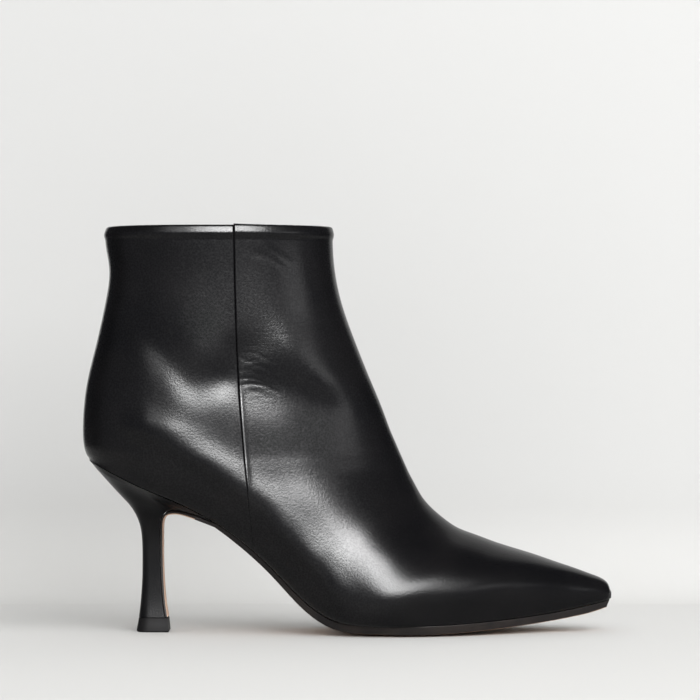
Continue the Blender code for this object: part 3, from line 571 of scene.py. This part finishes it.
class Wire:
    """One shader socket. Arithmetic on it adds Math nodes to its material."""

    def __init__(self, tree, socket=None):
        self.tree, self.socket = tree, socket

    def node(self, kind, settings, sockets, out=0):
        """A node of this kind: its settings first, then the values or links of its sockets."""
        made = self.tree.nodes.new("ShaderNode" + kind)
        for name, value in settings.items():
            setattr(made, name, value)
        for name, value in sockets.items():
            if isinstance(value, Wire):
                self.tree.links.new(value.socket, made.inputs[name])
            else:
                made.inputs[name].default_value = value
        return Wire(self.tree, made.outputs[out])

    def math(self, operation, *values):
        """A Math node on these values."""
        return self.node("Math", {"operation": operation}, dict(enumerate(values)))

    def __add__(self, other):
        return self.math("ADD", self, other)

    def __sub__(self, other):
        return self.math("SUBTRACT", self, other)

    def __rsub__(self, other):
        return self.math("SUBTRACT", other, self)

    def __mul__(self, other):
        return self.math("MULTIPLY", self, other)

    __radd__ = __add__
    __rmul__ = __mul__

    def between(self, low, high):
        """Rises smoothly from 0 to 1 while this value goes from low to high."""
        sockets = {"Value": self, "From Min": low, "From Max": high}
        return self.node("MapRange", {"interpolation_type": "SMOOTHSTEP"}, sockets)

    def mix(self, first, second):
        """From the first colour to the second as this value goes from 0 to 1.

        A Mix node's colours are its sockets 6 and 7, and its mixed colour is output 2.
        """
        return self.node("Mix", {"data_type": "RGBA"}, {0: self, 6: first, 7: second}, 2)

    def stretched(self, x, y, z):
        """These coordinates multiplied along each axis."""
        return self.node("VectorMath", {"operation": "MULTIPLY"}, {0: self, 1: (x, y, z)})

    def noise(self, scale, detail=2.0, roughness=0.5):
        """Soft clouds of this scale, with finer ones laid over them."""
        sockets = {"Vector": self, "Scale": scale, "Detail": detail, "Roughness": roughness}
        return self.node("TexNoise", {}, sockets)

    def cells(self, scale):
        """Distance to the nearest of scattered points, as in the pebbles of leather grain."""
        return self.node("TexVoronoi", {"feature": "F1"}, {"Vector": self, "Scale": scale})

    def axis(self, number):
        """One coordinate: 0 along the boot, 1 across it, 2 up."""
        return self.node("SeparateXYZ", {}, {"Vector": self}, number)


def new_finish(name, **constants):
    """A material with these constant sockets set, its shader and the object's own coordinates."""
    material = bpy.data.materials.new(name)
    material.use_nodes = True
    tree = material.node_tree
    shader = tree.nodes["Principled BSDF"]
    for socket, value in constants.items():
        label = socket.replace("_", " ").title().replace("Ior", "IOR")
        shader.inputs[label].default_value = value
    return material, shader, Wire(tree).node("TexCoord", {}, {}, "Object")


def feed(shader, **links):
    """Links what changes over the surface to the shader's sockets."""
    for socket, wire in links.items():
        wire.tree.links.new(wire.socket, shader.inputs[socket.replace("_", " ").title()])


def raised(height, strength, depth):
    """A bump of this height field, its depth in metres."""
    return height.node("Bump", {}, {"Height": height, "Strength": strength, "Distance": depth})


LEATHER_DARK = (0.0034, 0.0034, 0.0040, 1)
LEATHER_LIGHT = (0.0058, 0.0055, 0.0060, 1)
SEAM_LEAN = 0.08
SEAM_FOOT = -0.0422

# Stretches in metres over which a look comes or goes: the creased ankle's height and length, the
# rubbed lip of the seam along its height and across, and the smoother leather of the toe.
FLEX_LOW, FLEX_HIGH = (0.106, 0.122), (0.140, 0.160)
FLEX_BACK, FLEX_FRONT = (-0.052, -0.046), (-0.030, -0.004)
LIP_LOW, LIP_HIGH = (0.074, 0.084), (0.112, 0.122)
LIP_BACK, LIP_FRONT = (0.0001, 0.0004), (0.0008, 0.0015)
TOE_FROM = (0.0, 0.04)
black_leather, shader, place = new_finish(
    "black_leather", ior=1.5, specular_ior_level=0.095, coat_roughness=0.28
)
pebbles = place.cells(1100.0)
fine_grain = place.noise(1700.0, detail=3.0, roughness=0.6)
cloudy = place.noise(38.0, detail=3.0)
drawn = place.stretched(160.0, 160.0, 620.0).noise(1.0, detail=3.0, roughness=0.6)
flex_height = place.axis(2).between(*FLEX_LOW) * (1 - place.axis(2).between(*FLEX_HIGH))
flex_length = place.axis(0).between(*FLEX_BACK) * (1 - place.axis(0).between(*FLEX_FRONT))
flex = flex_height * flex_length
grain = pebbles * 0.55 + fine_grain * 0.45
surface = grain * (0.55 + 0.45 * cloudy) + drawn * flex * 1.5
to_toe = place.axis(0).between(*TOE_FROM)
past_seam = place.axis(0) + place.axis(2) * SEAM_LEAN - SEAM_FOOT
lip = past_seam.between(*LIP_BACK) * (1 - past_seam.between(*LIP_FRONT))
lip_height = place.axis(2).between(*LIP_LOW) * (1 - place.axis(2).between(*LIP_HIGH))
feed(
    shader,
    base_color=cloudy.between(0.3, 0.75).mix(LEATHER_DARK, LEATHER_LIGHT),
    roughness=0.15 + 0.05 * cloudy + 0.03 * pebbles + 0.06 * to_toe,
    coat_weight=(0.02 + 0.2 * pebbles) * (1 - 0.85 * to_toe) + 0.8 * lip * lip_height,
    normal=raised(surface, strength=0.22, depth=0.00035),
)

panels = {}
for side in (OUTER, INNER):
    for front in (True, False):
        panels[side, front] = panel_grid(side, front)
last_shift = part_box("upper")[0][0] / MM - panels[OUTER, False].points[:, :, 0].min()
upper_skin = Skin()
for (side, front), panel in panels.items():
    flip = (side == OUTER) != front
    upper_skin.grid(np.concatenate([panel.tucked, panel.points], axis=1), flip)
    upper_skin.grid(rolled_edge(panel), flip)
for side in (OUTER, INNER):
    seam_ends = [rolled_edge(panels[side, front])[:, 0] for front in (False, True)]
    upper_skin.grid(np.stack(seam_ends, axis=1), side == INNER)
    upper_skin.grid(lasting_margin(side), side == OUTER)
upper_skin.grid(toe_end(panels[OUTER, True].points[-1], panels[INNER, True].points[-1]), True)
upper = upper_skin.piece("upper_panels", black_leather)
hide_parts("upper")

# The lining: thin sand-coloured leather cemented to the inside of the upper, from under the folded
# top edge down to the insole.
LINING_TOP = 5.0
LINING_STEP = 4.0
LINING_COLUMNS = 44
LINING_GAP = 0.15
LINING_COLOUR = (0.42, 0.31, 0.225, 1)
LINING_WORN = (0.36, 0.26, 0.185, 1)
lining_leather, shader, place = new_finish("lining_leather", ior=1.45)
lining_clouds = place.noise(45.0, detail=4.0)
lining_grain = place.noise(2200.0, detail=2.0)
feed(
    shader,
    base_color=lining_clouds.between(0.35, 0.7).mix(LINING_COLOUR, LINING_WORN),
    roughness=0.62 + 0.15 * lining_clouds,
    normal=raised(lining_grain, strength=0.3, depth=0.0002),
)
lining_skin = Skin()
lining_leg = np.arange(LINING_TOP, corner, LINING_STEP)
lining_rows = np.concatenate([lining_leg, [corner], foot_places[1::3], foot_places[-1:]])
lining_sections = sections(lining_rows)
for side in (OUTER, INNER):
    dense = half_sections(lining_sections, side)
    lengths = arc_lengths(dense)
    from_seat = lengths[:, -1:] * np.linspace(0, 1, LINING_COLUMNS)
    from_ridge = lengths[:, -1:] * np.linspace(1, 0, LINING_COLUMNS)
    wall = read_rows(lengths, dense, from_seat)
    normal = outward(wall, side)
    normal[:, -1, 1] = 0
    normal[lining_rows <= corner, 0, 1] = 0
    folds = soft_folds(wall, side, np.minimum(from_seat, from_ridge), False)
    depth = WALL + LINING_GAP - folds
    lining_skin.grid(wall - depth[:, :, None] * normal, side == OUTER)
lining = lining_skin.piece("shaft_lining", lining_leather)

# The insole: fibre board with a sock of sand-coloured leather stuck on top and round its edge. It
# lies on the lasting margin inside the boot, just clear of the lining.
INSOLE_THICKNESS = 2.0
INSOLE_GAP = 0.65
INSOLE_INSET = 2.9
INSOLE_HEEL = 20.6
INSOLE_EDGE = 0.7
INSOLE_BLUNT = 0.03
INSOLE_HEEL_ROWS = 22
INSOLE_ROWS = 80
INSOLE_COLUMNS = 22
SOCK_COLOUR = (0.46, 0.345, 0.25, 1)
SOCK_WORN = (0.40, 0.29, 0.205, 1)
sock_leather, shader, place = new_finish("sock_leather", ior=1.45)
sock_clouds = place.noise(30.0, detail=4.0)
sock_grain = place.noise(1900.0, detail=2.0)
feed(
    shader,
    base_color=sock_clouds.between(0.35, 0.7).mix(SOCK_COLOUR, SOCK_WORN),
    roughness=0.55 + 0.15 * sock_clouds,
    normal=raised(sock_grain, strength=0.3, depth=0.0002),
)
CORNER_POINTS = 5
CORNER_MOST = 0.45


def bent_corner(before, corner_point, after, reach):
    """Points round a corner, from this far before it to this far after it."""
    start, end = unit(before - corner_point), unit(after - corner_point)
    share = np.linspace(0, 1, CORNER_POINTS)[None, :, None]
    return corner_point + reach * ((1 - share) ** 2 * start + share**2 * end)


def slab_loops(top, bottom, reach):
    """Loops round a slab from its top and bottom rows, with its four long edges rounded."""
    corners = {}
    for name, row, other in (("top", top, bottom), ("bottom", bottom, top)):
        for end, next_one in ((0, 1), (-1, -2)):
            here = row[:, end : end + 1 or None]
            inner, across = row[:, [next_one]], other[:, [end]]
            size = reach
            for neighbour in (across, inner):
                length = np.linalg.norm(neighbour - here, axis=2, keepdims=True)
                size = np.minimum(size, CORNER_MOST * length)
            corners[name, end] = bent_corner(across, here, inner, size)
    first = [corners["top", 0], top[:, 1:-1], corners["top", -1][:, ::-1]]
    second = [corners["bottom", -1], bottom[:, 1:-1][:, ::-1], corners["bottom", 0][:, ::-1]]
    return np.concatenate(first + second, axis=1)


def seat_half(x, side):
    """Half width of the seat on one side, read along the boot."""
    feather = seat_run.feather_outer if side == OUTER else seat_run.feather_inner
    return seat_line(x, feather[:, 0])


insole_turns = quarter(INSOLE_HEEL_ROWS, INSOLE_BLUNT)
straight_x = np.linspace(heel_middle_x, toe_middle_x, INSOLE_ROWS)[1:]
insole_x = np.concatenate([heel_middle_x - INSOLE_HEEL * np.cos(insole_turns), straight_x])
insole_wide_x = np.maximum(insole_x, heel_middle_x)
insole_share = np.concatenate([np.sin(insole_turns), np.ones(len(straight_x))])
outer_half = insole_share * (seat_half(insole_wide_x, OUTER) - INSOLE_INSET)
inner_half = insole_share * (seat_half(insole_wide_x, INNER) - INSOLE_INSET)
insole_across = np.linspace(0, 1, INSOLE_COLUMNS)
insole_y = -outer_half[:, None] + (outer_half + inner_half)[:, None] * insole_across
insole_top, insole_bottom = (
    seat_point(insole_x[:, None], insole_y, WALL + INSOLE_GAP + rise)
    for rise in (INSOLE_THICKNESS, 0.0)
)
insole_skin = Skin()
insole_skin.loft(slab_loops(insole_top, insole_bottom, INSOLE_EDGE))
insole = insole_skin.piece("insole_sock", sock_leather)
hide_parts("insole")

# The outsole: one thin strip of leather from the toe, up the waist, under the heel's lip and down
# the heel's breast. Its face is nude, its edge is painted black as far as the lip, and it is
# cemented on, with a fine groove left open all round between upper and sole.

# Height of the groove at its mouth and inside, how far in it closes, and the gap behind the flap.
SEAT_GAP = 0.45
CEMENT_LINE = 0.1
GROOVE = 1.5
GAP = 0.3

# Along the sole in per cent of the length: thickness, how far it stands in from the feather line,
# and how far its edge leans in to the tread, in millimetres. The tread is crowned by the drops.
Sole = namedtuple("Sole", "x thickness inset bevel")
SOLE_STATIONS = (
    Sole(25.6, 2.0, 3.2, 0.8),
    Sole(30.0, 2.5, 3.0, 1.0),
    Sole(37.0, 2.5, 2.2, 1.2),
    Sole(43.0, 3.1, 1.2, 1.3),
    Sole(48.0, 3.7, 0.6, 1.3),
    Sole(60.0, 4.2, 0.4, 1.4),
    Sole(75.0, 3.8, 0.4, 1.3),
    Sole(90.0, 3.3, 0.5, 1.1),
    Sole(99.5, 3.2, 0.6, 1.0),
)
TOE_RAKE_FROM = 95.0
TOE_RAKE = 0.7
TOE_TURN_FROM = 96.5
CROWN_X = (42.0, 53.0, 70.0, 100.0)
CROWN_DROP = (0.0, 1.9, 1.9, 0.57)
SOLE_EDGE = 0.45
SOLE_ROWS = 110
SOLE_COLUMNS = 26
TIP_BLUNT = 0.02
TIP_ROWS = 12
LEAST_HALF = 1.0
NUDE_COLOUR = (0.58, 0.37, 0.25, 1)
NUDE_DEEPER = (0.50, 0.31, 0.205, 1)
PAINT_DARK = (0.012, 0.010, 0.010, 1)
PAINT_LIGHT = (0.022, 0.017, 0.015, 1)
nude_leather, shader, place = new_finish("nude_leather", ior=1.45)
nude_clouds = place.noise(26.0, detail=4.0)
nude_fibre = place.stretched(300.0, 900.0, 900.0).noise(1.0, detail=3.0)
feed(
    shader,
    base_color=nude_clouds.between(0.3, 0.7).mix(NUDE_COLOUR, NUDE_DEEPER),
    roughness=0.42 + 0.2 * nude_clouds,
    normal=raised(nude_fibre, strength=0.2, depth=0.0002),
)
edge_paint, shader, place = new_finish("edge_paint", ior=1.5, specular_ior_level=0.18)
paint_clouds = place.noise(60.0, detail=3.0)
paint_ridges = place.stretched(120.0, 120.0, 1400.0).noise(1.0, detail=2.0)
feed(
    shader,
    base_color=paint_clouds.between(0.35, 0.7).mix(PAINT_DARK, PAINT_LIGHT),
    roughness=0.36 + 0.15 * paint_clouds,
    normal=raised(paint_ridges, strength=0.25, depth=0.0002),
)

# Sections of the heel block from the top piece up, in millimetres, with the thickness of the sole's
# flap in front of each. The flap follows the block's breast.
HEEL_LEVELS = 64
Heel = namedtuple("Heel", "back_x back_z front_x front_z half_width flap")
HEEL_SECTIONS = (
    Heel(27.2, 7.2, 40.1, 7.2, 6.7, 1.2),
    Heel(28.1, 15.0, 38.9, 15.0, 5.7, 1.2),
    Heel(28.8, 26.0, 38.1, 26.0, 5.0, 1.2),
    Heel(28.9, 38.0, 37.7, 38.0, 4.9, 1.2),
    Heel(28.4, 48.0, 37.7, 47.5, 5.6, 1.2),
    Heel(26.6, 55.0, 37.9, 53.2, 7.2, 1.2),
    Heel(23.2, 61.0, 39.2, 57.0, 9.6, 1.3),
    Heel(18.2, 66.6, 42.4, 59.0, 13.0, 1.4),
    Heel(12.0, 73.4, 48.2, 59.3, 17.0, 1.5),
    Heel(6.6, 79.6, 56.0, 57.4, 21.5, 1.7),
)
heel_knots = np.arange(len(HEEL_SECTIONS))
heel_up = np.linspace(0, heel_knots[-1], HEEL_LEVELS)
heel_rows = Heel(*cubic(heel_knots, HEEL_SECTIONS, heel_up).T[:, :, None])

tip_share = SOLE_STATIONS[-1].x
tip_run = TOE_TURN_FROM + (tip_share - TOE_TURN_FROM) * np.cos(quarter(TIP_ROWS, TIP_BLUNT))
sole_run = np.linspace(TOE_TURN_FROM, SOLE_STATIONS[0].x, SOLE_ROWS)[1:]
sole_shares = np.concatenate([tip_run, sole_run])
station = Sole(*cubic([row.x for row in SOLE_STATIONS], SOLE_STATIONS, sole_shares).T[:, :, None])
sole_x = sole_shares[:, None] / 100 * LENGTH
outer_half, inner_half = (seat_half(sole_x, side) - station.inset for side in (OUTER, INNER))
sole_y = -outer_half + (outer_half + inner_half) * np.linspace(0, 1, SOLE_COLUMNS)
side_half = np.where(sole_y < 0, outer_half, inner_half)
seat_side = np.where(sole_y < 0, seat_half(sole_x, OUTER), seat_half(sole_x, INNER))
seat_side = np.maximum(seat_side, LEAST_HALF)
crown = np.interp(sole_x, np.array(CROWN_X) / 100 * LENGTH, CROWN_DROP)
drop = station.thickness + crown * np.maximum(0, 1 - (sole_y / seat_side) ** 2)
groove = np.clip((side_half - np.abs(sole_y)) / GROOVE, 0, 1)[:, :, None]
sole_top = seat_point(sole_x, sole_y, -SEAT_GAP + (SEAT_GAP - CEMENT_LINE) * groove)
sole_bottom = seat_point(sole_x, sole_y, -SEAT_GAP - drop[:, :, None])
rake = TOE_RAKE * np.interp(sole_shares, (TOE_RAKE_FROM, tip_share), (0, 1))[:, None]
sole_bottom[:, :, 0] -= rake * station.thickness
sole_bottom[:, :, 1] *= 1 - station.bevel / np.maximum(side_half, 2 * station.bevel)
sole_bottom[:, :, 2] = np.maximum(sole_bottom[:, :, 2], 0)
breast = np.concatenate([heel_rows.front_x, heel_rows.front_z], axis=1)[::-1]
breast_run = np.gradient(breast, axis=0)
breast_out = unit(np.stack([-breast_run[:, 1], breast_run[:, 0]], axis=1))
flap_y = (heel_rows.half_width[::-1] - GAP) * np.linspace(-1, 1, SOLE_COLUMNS)
flap_faces = []
for away in (GAP, GAP + heel_rows.flap[::-1]):
    line = breast + breast_out * away
    line[:, 1] = np.maximum(line[:, 1], breast[-1, 1])
    flap_x, flap_z = (line[:, [axis]] + 0 * flap_y for axis in (0, 1))
    flap_faces.append(np.stack([flap_x, flap_y, flap_z], axis=2))
loops = slab_loops(
    np.concatenate([sole_top, flap_faces[0]]),
    np.concatenate([sole_bottom, flap_faces[1]]),
    SOLE_EDGE,
)
whole = loops.shape[1]
half = whole // 2
edge = CORNER_POINTS
painted = np.zeros((len(loops) - 1, whole), int)
for first, end in ((0, edge), (half - edge, half + edge), (whole - edge, whole)):
    painted[: len(sole_x), first:end] = 1
for first, end in ((0, edge), (half - edge, half), (whole - 1, whole)):
    painted[len(sole_x) :, first:end] = 1
painted[:TIP_ROWS, :half] = 1
sole_skin = Skin()
sole_skin.loft(loops, painted, 1)
outsole = sole_skin.piece("sole_strip", nude_leather, edge_paint)
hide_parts("outsole")

# The heel: a moulded block covered in the upper's black leather, which is pulled smooth over it and
# turned in at the breast and the cupped seat. It is screwed on from inside the boot.
LIP_END = 24.8
LIP_INSET = 0.6
LIP_ROWS = 7
HEEL_BACK_ROUND = 2.5
HEEL_BACK_SHARE = 0.42
HEEL_BACK_POINTS = 22
HEEL_SIDE_POINTS = 9
heel_leather, shader, place = new_finish(
    "heel_leather", ior=1.5, specular_ior_level=0.08, coat_weight=0.05, coat_roughness=0.3
)
heel_clouds = place.noise(70.0, detail=3.0)
heel_grain = place.cells(1400.0)
feed(
    shader,
    base_color=heel_clouds.between(0.35, 0.7).mix(LEATHER_DARK, LEATHER_LIGHT),
    roughness=0.29 + 0.05 * heel_clouds,
    normal=raised(heel_grain, strength=0.2, depth=0.0002),
)
back_turns = quarter(HEEL_BACK_POINTS)


def side_loops(outer, inner):
    """Closed loops from the back along the outer side and home along the inner one."""
    return np.concatenate([outer, inner[:, ::-1]], axis=1)


def heel_loops(rows):
    """Loops of the heel: round behind, with straight sides up to the flat breast."""
    back_shares = HEEL_BACK_SHARE * (1 - np.abs(np.cos(back_turns)) ** (2 / HEEL_BACK_ROUND))
    side_shares = np.linspace(HEEL_BACK_SHARE, 1, HEEL_SIDE_POINTS)[1:]
    shares = np.concatenate([back_shares, side_shares])
    x = rows.back_x + shares * (rows.front_x - rows.back_x)
    z = rows.back_z + shares * (rows.front_z - rows.back_z)
    before = np.maximum(0, 1 - shares / HEEL_BACK_SHARE)
    half = rows.half_width * (1 - before**HEEL_BACK_ROUND) ** (1 / HEEL_BACK_ROUND)
    return side_loops(np.stack([x, -half, z], axis=2), np.stack([x, half, z], axis=2))


def seat_ring(inset, lift):
    """A loop round the heel's seat, this far inside its edge and lifted square to it."""
    back_run = heel_middle_x - seat_run.seat_x[0, 0] - inset
    straight = np.linspace(heel_middle_x, LIP_END / 100 * LENGTH, HEEL_SIDE_POINTS)[1:]
    x = np.concatenate([heel_middle_x - back_run * np.cos(back_turns), straight])
    sides = []
    for side in (OUTER, INNER):
        y = side * np.maximum(seat_half(x, side) - inset, 0)
        y[0] = 0
        sides.append(seat_point(x, y, lift)[None])
    return side_loops(*sides)


block = heel_loops(heel_rows)
heel_lip = seat_ring(LIP_INSET, -SEAT_GAP)
heel_cup = seat_ring(LIP_INSET + GROOVE, -CEMENT_LINE)
rise = np.linspace(0, 1, LIP_ROWS)[1:, None, None]
heel_skin = Skin()
heel_skin.loft(np.concatenate([block, block[-1:] + rise * (heel_lip - block[-1:]), heel_cup]))
heel = heel_skin.piece("heel_cover", heel_leather)
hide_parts("heel")

# The top piece: a small block of black rubber, flared out to the floor and bevelled round its lower
# edge. It is pinned under the heel, and its front stands below the sole's flap.

# How far out the block stands on each level, as shares of its flare, and the levels' heights.
TOP_PIECE_FLARE = 1.1
TOP_PIECE_ROWS = ((0.55, 0.0), (1.0, 0.5), (0.93, 1.0), (0.0, 6.7), (-0.18, 6.9))
RUBBER_DARK = (0.008, 0.008, 0.009, 1)
RUBBER_LIGHT = (0.014, 0.013, 0.013, 1)
heel_rubber, shader, place = new_finish("heel_rubber", ior=1.5, specular_ior_level=0.05)
rubber_clouds = place.noise(300.0, detail=3.0)
rubber_lines = place.stretched(200.0, 200.0, 2500.0).noise(1.0, detail=2.0)
feed(
    shader,
    base_color=rubber_clouds.mix(RUBBER_DARK, RUBBER_LIGHT),
    roughness=0.45 + 0.15 * rubber_clouds,
    normal=raised(rubber_lines, strength=0.2, depth=0.0002),
)
block_foot = HEEL_SECTIONS[0]
top_front = block_foot.front_x + GAP + block_foot.flap
tread_rows = []
for flare, height in TOP_PIECE_ROWS:
    out = flare * TOP_PIECE_FLARE
    back, front = block_foot.back_x - out, top_front + out / 2
    tread_rows.append((back, height, front, height, block_foot.half_width + out, 0))
tread_skin = Skin()
tread_skin.loft(heel_loops(Heel(*np.array(tread_rows).T[:, :, None])))
tread = tread_skin.piece("heel_tread", heel_rubber)
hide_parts("top_piece")

# The studio: a painted floor and wall, both pale, with a cove at the wall's foot. The wall's colour
# is painted lighter than the floor's, as painted light for the brighter light that falls on it. A
# soft box in front, a wide faint one round it and a low one beyond the toe shine on the leather,
# and a broad one above lights what is dull. The camera is level with the boot and square to its
# outer side.
PALE_FLOOR = (0.55, 0.548, 0.539, 1)
PALE_WALL_PAINTED_LIGHTER = (0.59, 0.59, 0.586, 1)
WALL_BEHIND = 0.21
COVE = 0.05
COVE_STEPS = 9
WALL_HALF = 0.25
WALL_TOP = 0.5
FLOOR_HALF = 0.6
FLOOR_FRONT = -0.6
FLOOR_BACK = 0.6
PAINTED_LIGHT_RISE = 0.08
BOOT_MIDDLE = (0.0, 0.0, 0.1)
studio_paint, shader, place = new_finish("studio_paint", specular_ior_level=0.25)
shade = place.noise(3.0, detail=2.0)
# Painted light: the colour goes from the floor's to the wall's lighter one over this height, a
# painted brightening of the wall.
painted_wall_light = place.axis(2).between(0.0, PAINTED_LIGHT_RISE)
feed(shader, base_color=painted_wall_light.mix(PALE_FLOOR, PALE_WALL_PAINTED_LIGHTER), roughness=0.85 + 0.1 * shade)
behind = place.node("NewGeometry", {}, {}, "Backfacing")
clear = place.node("BsdfTransparent", {}, {})
seen = place.node("MixShader", {}, {0: behind, 1: Wire(place.tree, shader.outputs[0]), 2: clear})
place.tree.links.new(seen.socket, place.tree.nodes["Material Output"].inputs[0])
profile = [(WALL_BEHIND - COVE, 0.0)]
for angle in quarter(COVE_STEPS)[1:]:
    profile.append((WALL_BEHIND - COVE + COVE * math.sin(angle), COVE - COVE * math.cos(angle)))
profile.append((WALL_BEHIND, WALL_TOP))
floor_edges = [(FLOOR_FRONT, 0.0), (FLOOR_BACK, 0.0)]
backdrops = (("studio_floor", FLOOR_HALF, floor_edges), ("studio_wall", WALL_HALF, profile))
for name, half, line in backdrops:
    sheet = bpy.data.meshes.new(name)
    corners = [(x, y, z) for y, z in line for x in (-half, half)]
    strips = [(i, i + 1, i + 3, i + 2) for i in range(0, 2 * len(line) - 2, 2)]
    sheet.from_pydata(corners, [], strips)
    sheet.shade_smooth()
    sheet.materials.append(studio_paint)
    backdrop = bpy.data.objects.new(name, sheet)
    bpy.context.scene.collection.objects.link(backdrop)


def soft_light(name, turn, rise, away, size, radiance):
    """A soft box that faces the boot, turned to the toe and raised by degrees from the camera."""
    lamp = bpy.data.lights.new(name, "AREA")
    lamp.shape = "RECTANGLE"
    lamp.size, lamp.size_y = size
    lamp.energy = radiance * math.pi * size[0] * size[1]
    turn, rise = math.radians(turn), math.radians(rise)
    level = math.cos(rise)
    out = Vector((math.sin(turn) * level, -math.cos(turn) * level, math.sin(rise)))
    box = bpy.data.objects.new(name, lamp)
    box.location = Vector(BOOT_MIDDLE) + away * out
    box.rotation_euler = out.to_track_quat("Z", "Y").to_euler()
    bpy.context.scene.collection.objects.link(box)
    return box


key = soft_light("key_light", turn=7, rise=28, away=1.6, size=(0.73, 0.70), radiance=64.0)
halo = soft_light("halo_light", turn=-9, rise=30, away=1.7, size=(1.1, 0.9), radiance=4.8)
low = soft_light("side_light", turn=43, rise=11, away=1.8, size=(0.62, 0.3), radiance=5.0)
top = soft_light("top_light", turn=42, rise=36, away=2.0, size=(2.0, 1.6), radiance=4.0)
for shine in (key, halo, low):
    shine.visible_diffuse = False
top.visible_glossy = False

# Air that is pale to the eye and to dull surfaces, and dark in the gloss but for a band in front.
PALE_AIR = (0.9, 0.9, 0.89, 1)
GLOSS_AIR = (0.9, 0.92, 1.0, 1)
PALE_STRENGTH = 1.05
GLOSS_STRENGTH = 0.06
BAND_STRENGTH = 0.42
BAND_FRONT = (-0.1, 0.5)
BAND_TOP = (0.2, 0.5)
world = bpy.data.worlds.new("studio_air")
world.use_nodes = True
bpy.context.scene.world = world
air = Wire(world.node_tree)
pale_air = air.node("Background", {}, {"Color": PALE_AIR, "Strength": PALE_STRENGTH})
looking = air.node("TexCoord", {}, {}, "Generated")
ahead = (0 - looking.axis(1)).between(*BAND_FRONT) * (1 - looking.axis(2).between(*BAND_TOP))
dim = GLOSS_STRENGTH + BAND_STRENGTH * ahead
dim_air = air.node("Background", {}, {"Color": GLOSS_AIR, "Strength": dim})
mirrored = air.node("LightPath", {}, {}, "Is Glossy Ray")
seen_air = air.node("MixShader", {}, {0: mirrored, 1: pale_air, 2: dim_air})
world.node_tree.links.new(seen_air.socket, world.node_tree.nodes["World Output"].inputs[0])
bpy.context.scene.view_settings.view_transform = "Standard"

# The camera, set by the picture's scale at the boot's middle.
CAMERA_X = 0.0015
CAMERA_HEIGHT = 0.1362
CAMERA_AWAY = 1.5
SENSOR = 36.0
PICTURE = 700
MM_PER_PIXEL = 0.4882
SHIFT_PIXELS = 2
camera_data = bpy.data.cameras.new("camera")
camera_data.sensor_width = SENSOR
camera_data.lens = SENSOR * CAMERA_AWAY / (PICTURE * MM_PER_PIXEL * MM)
camera_data.shift_y = SHIFT_PIXELS / PICTURE
camera = bpy.data.objects.new("camera", camera_data)
camera.location = (CAMERA_X, -CAMERA_AWAY, CAMERA_HEIGHT)
camera.rotation_euler = (math.pi / 2, 0, 0)
bpy.context.scene.collection.objects.link(camera)
bpy.context.scene.camera = camera
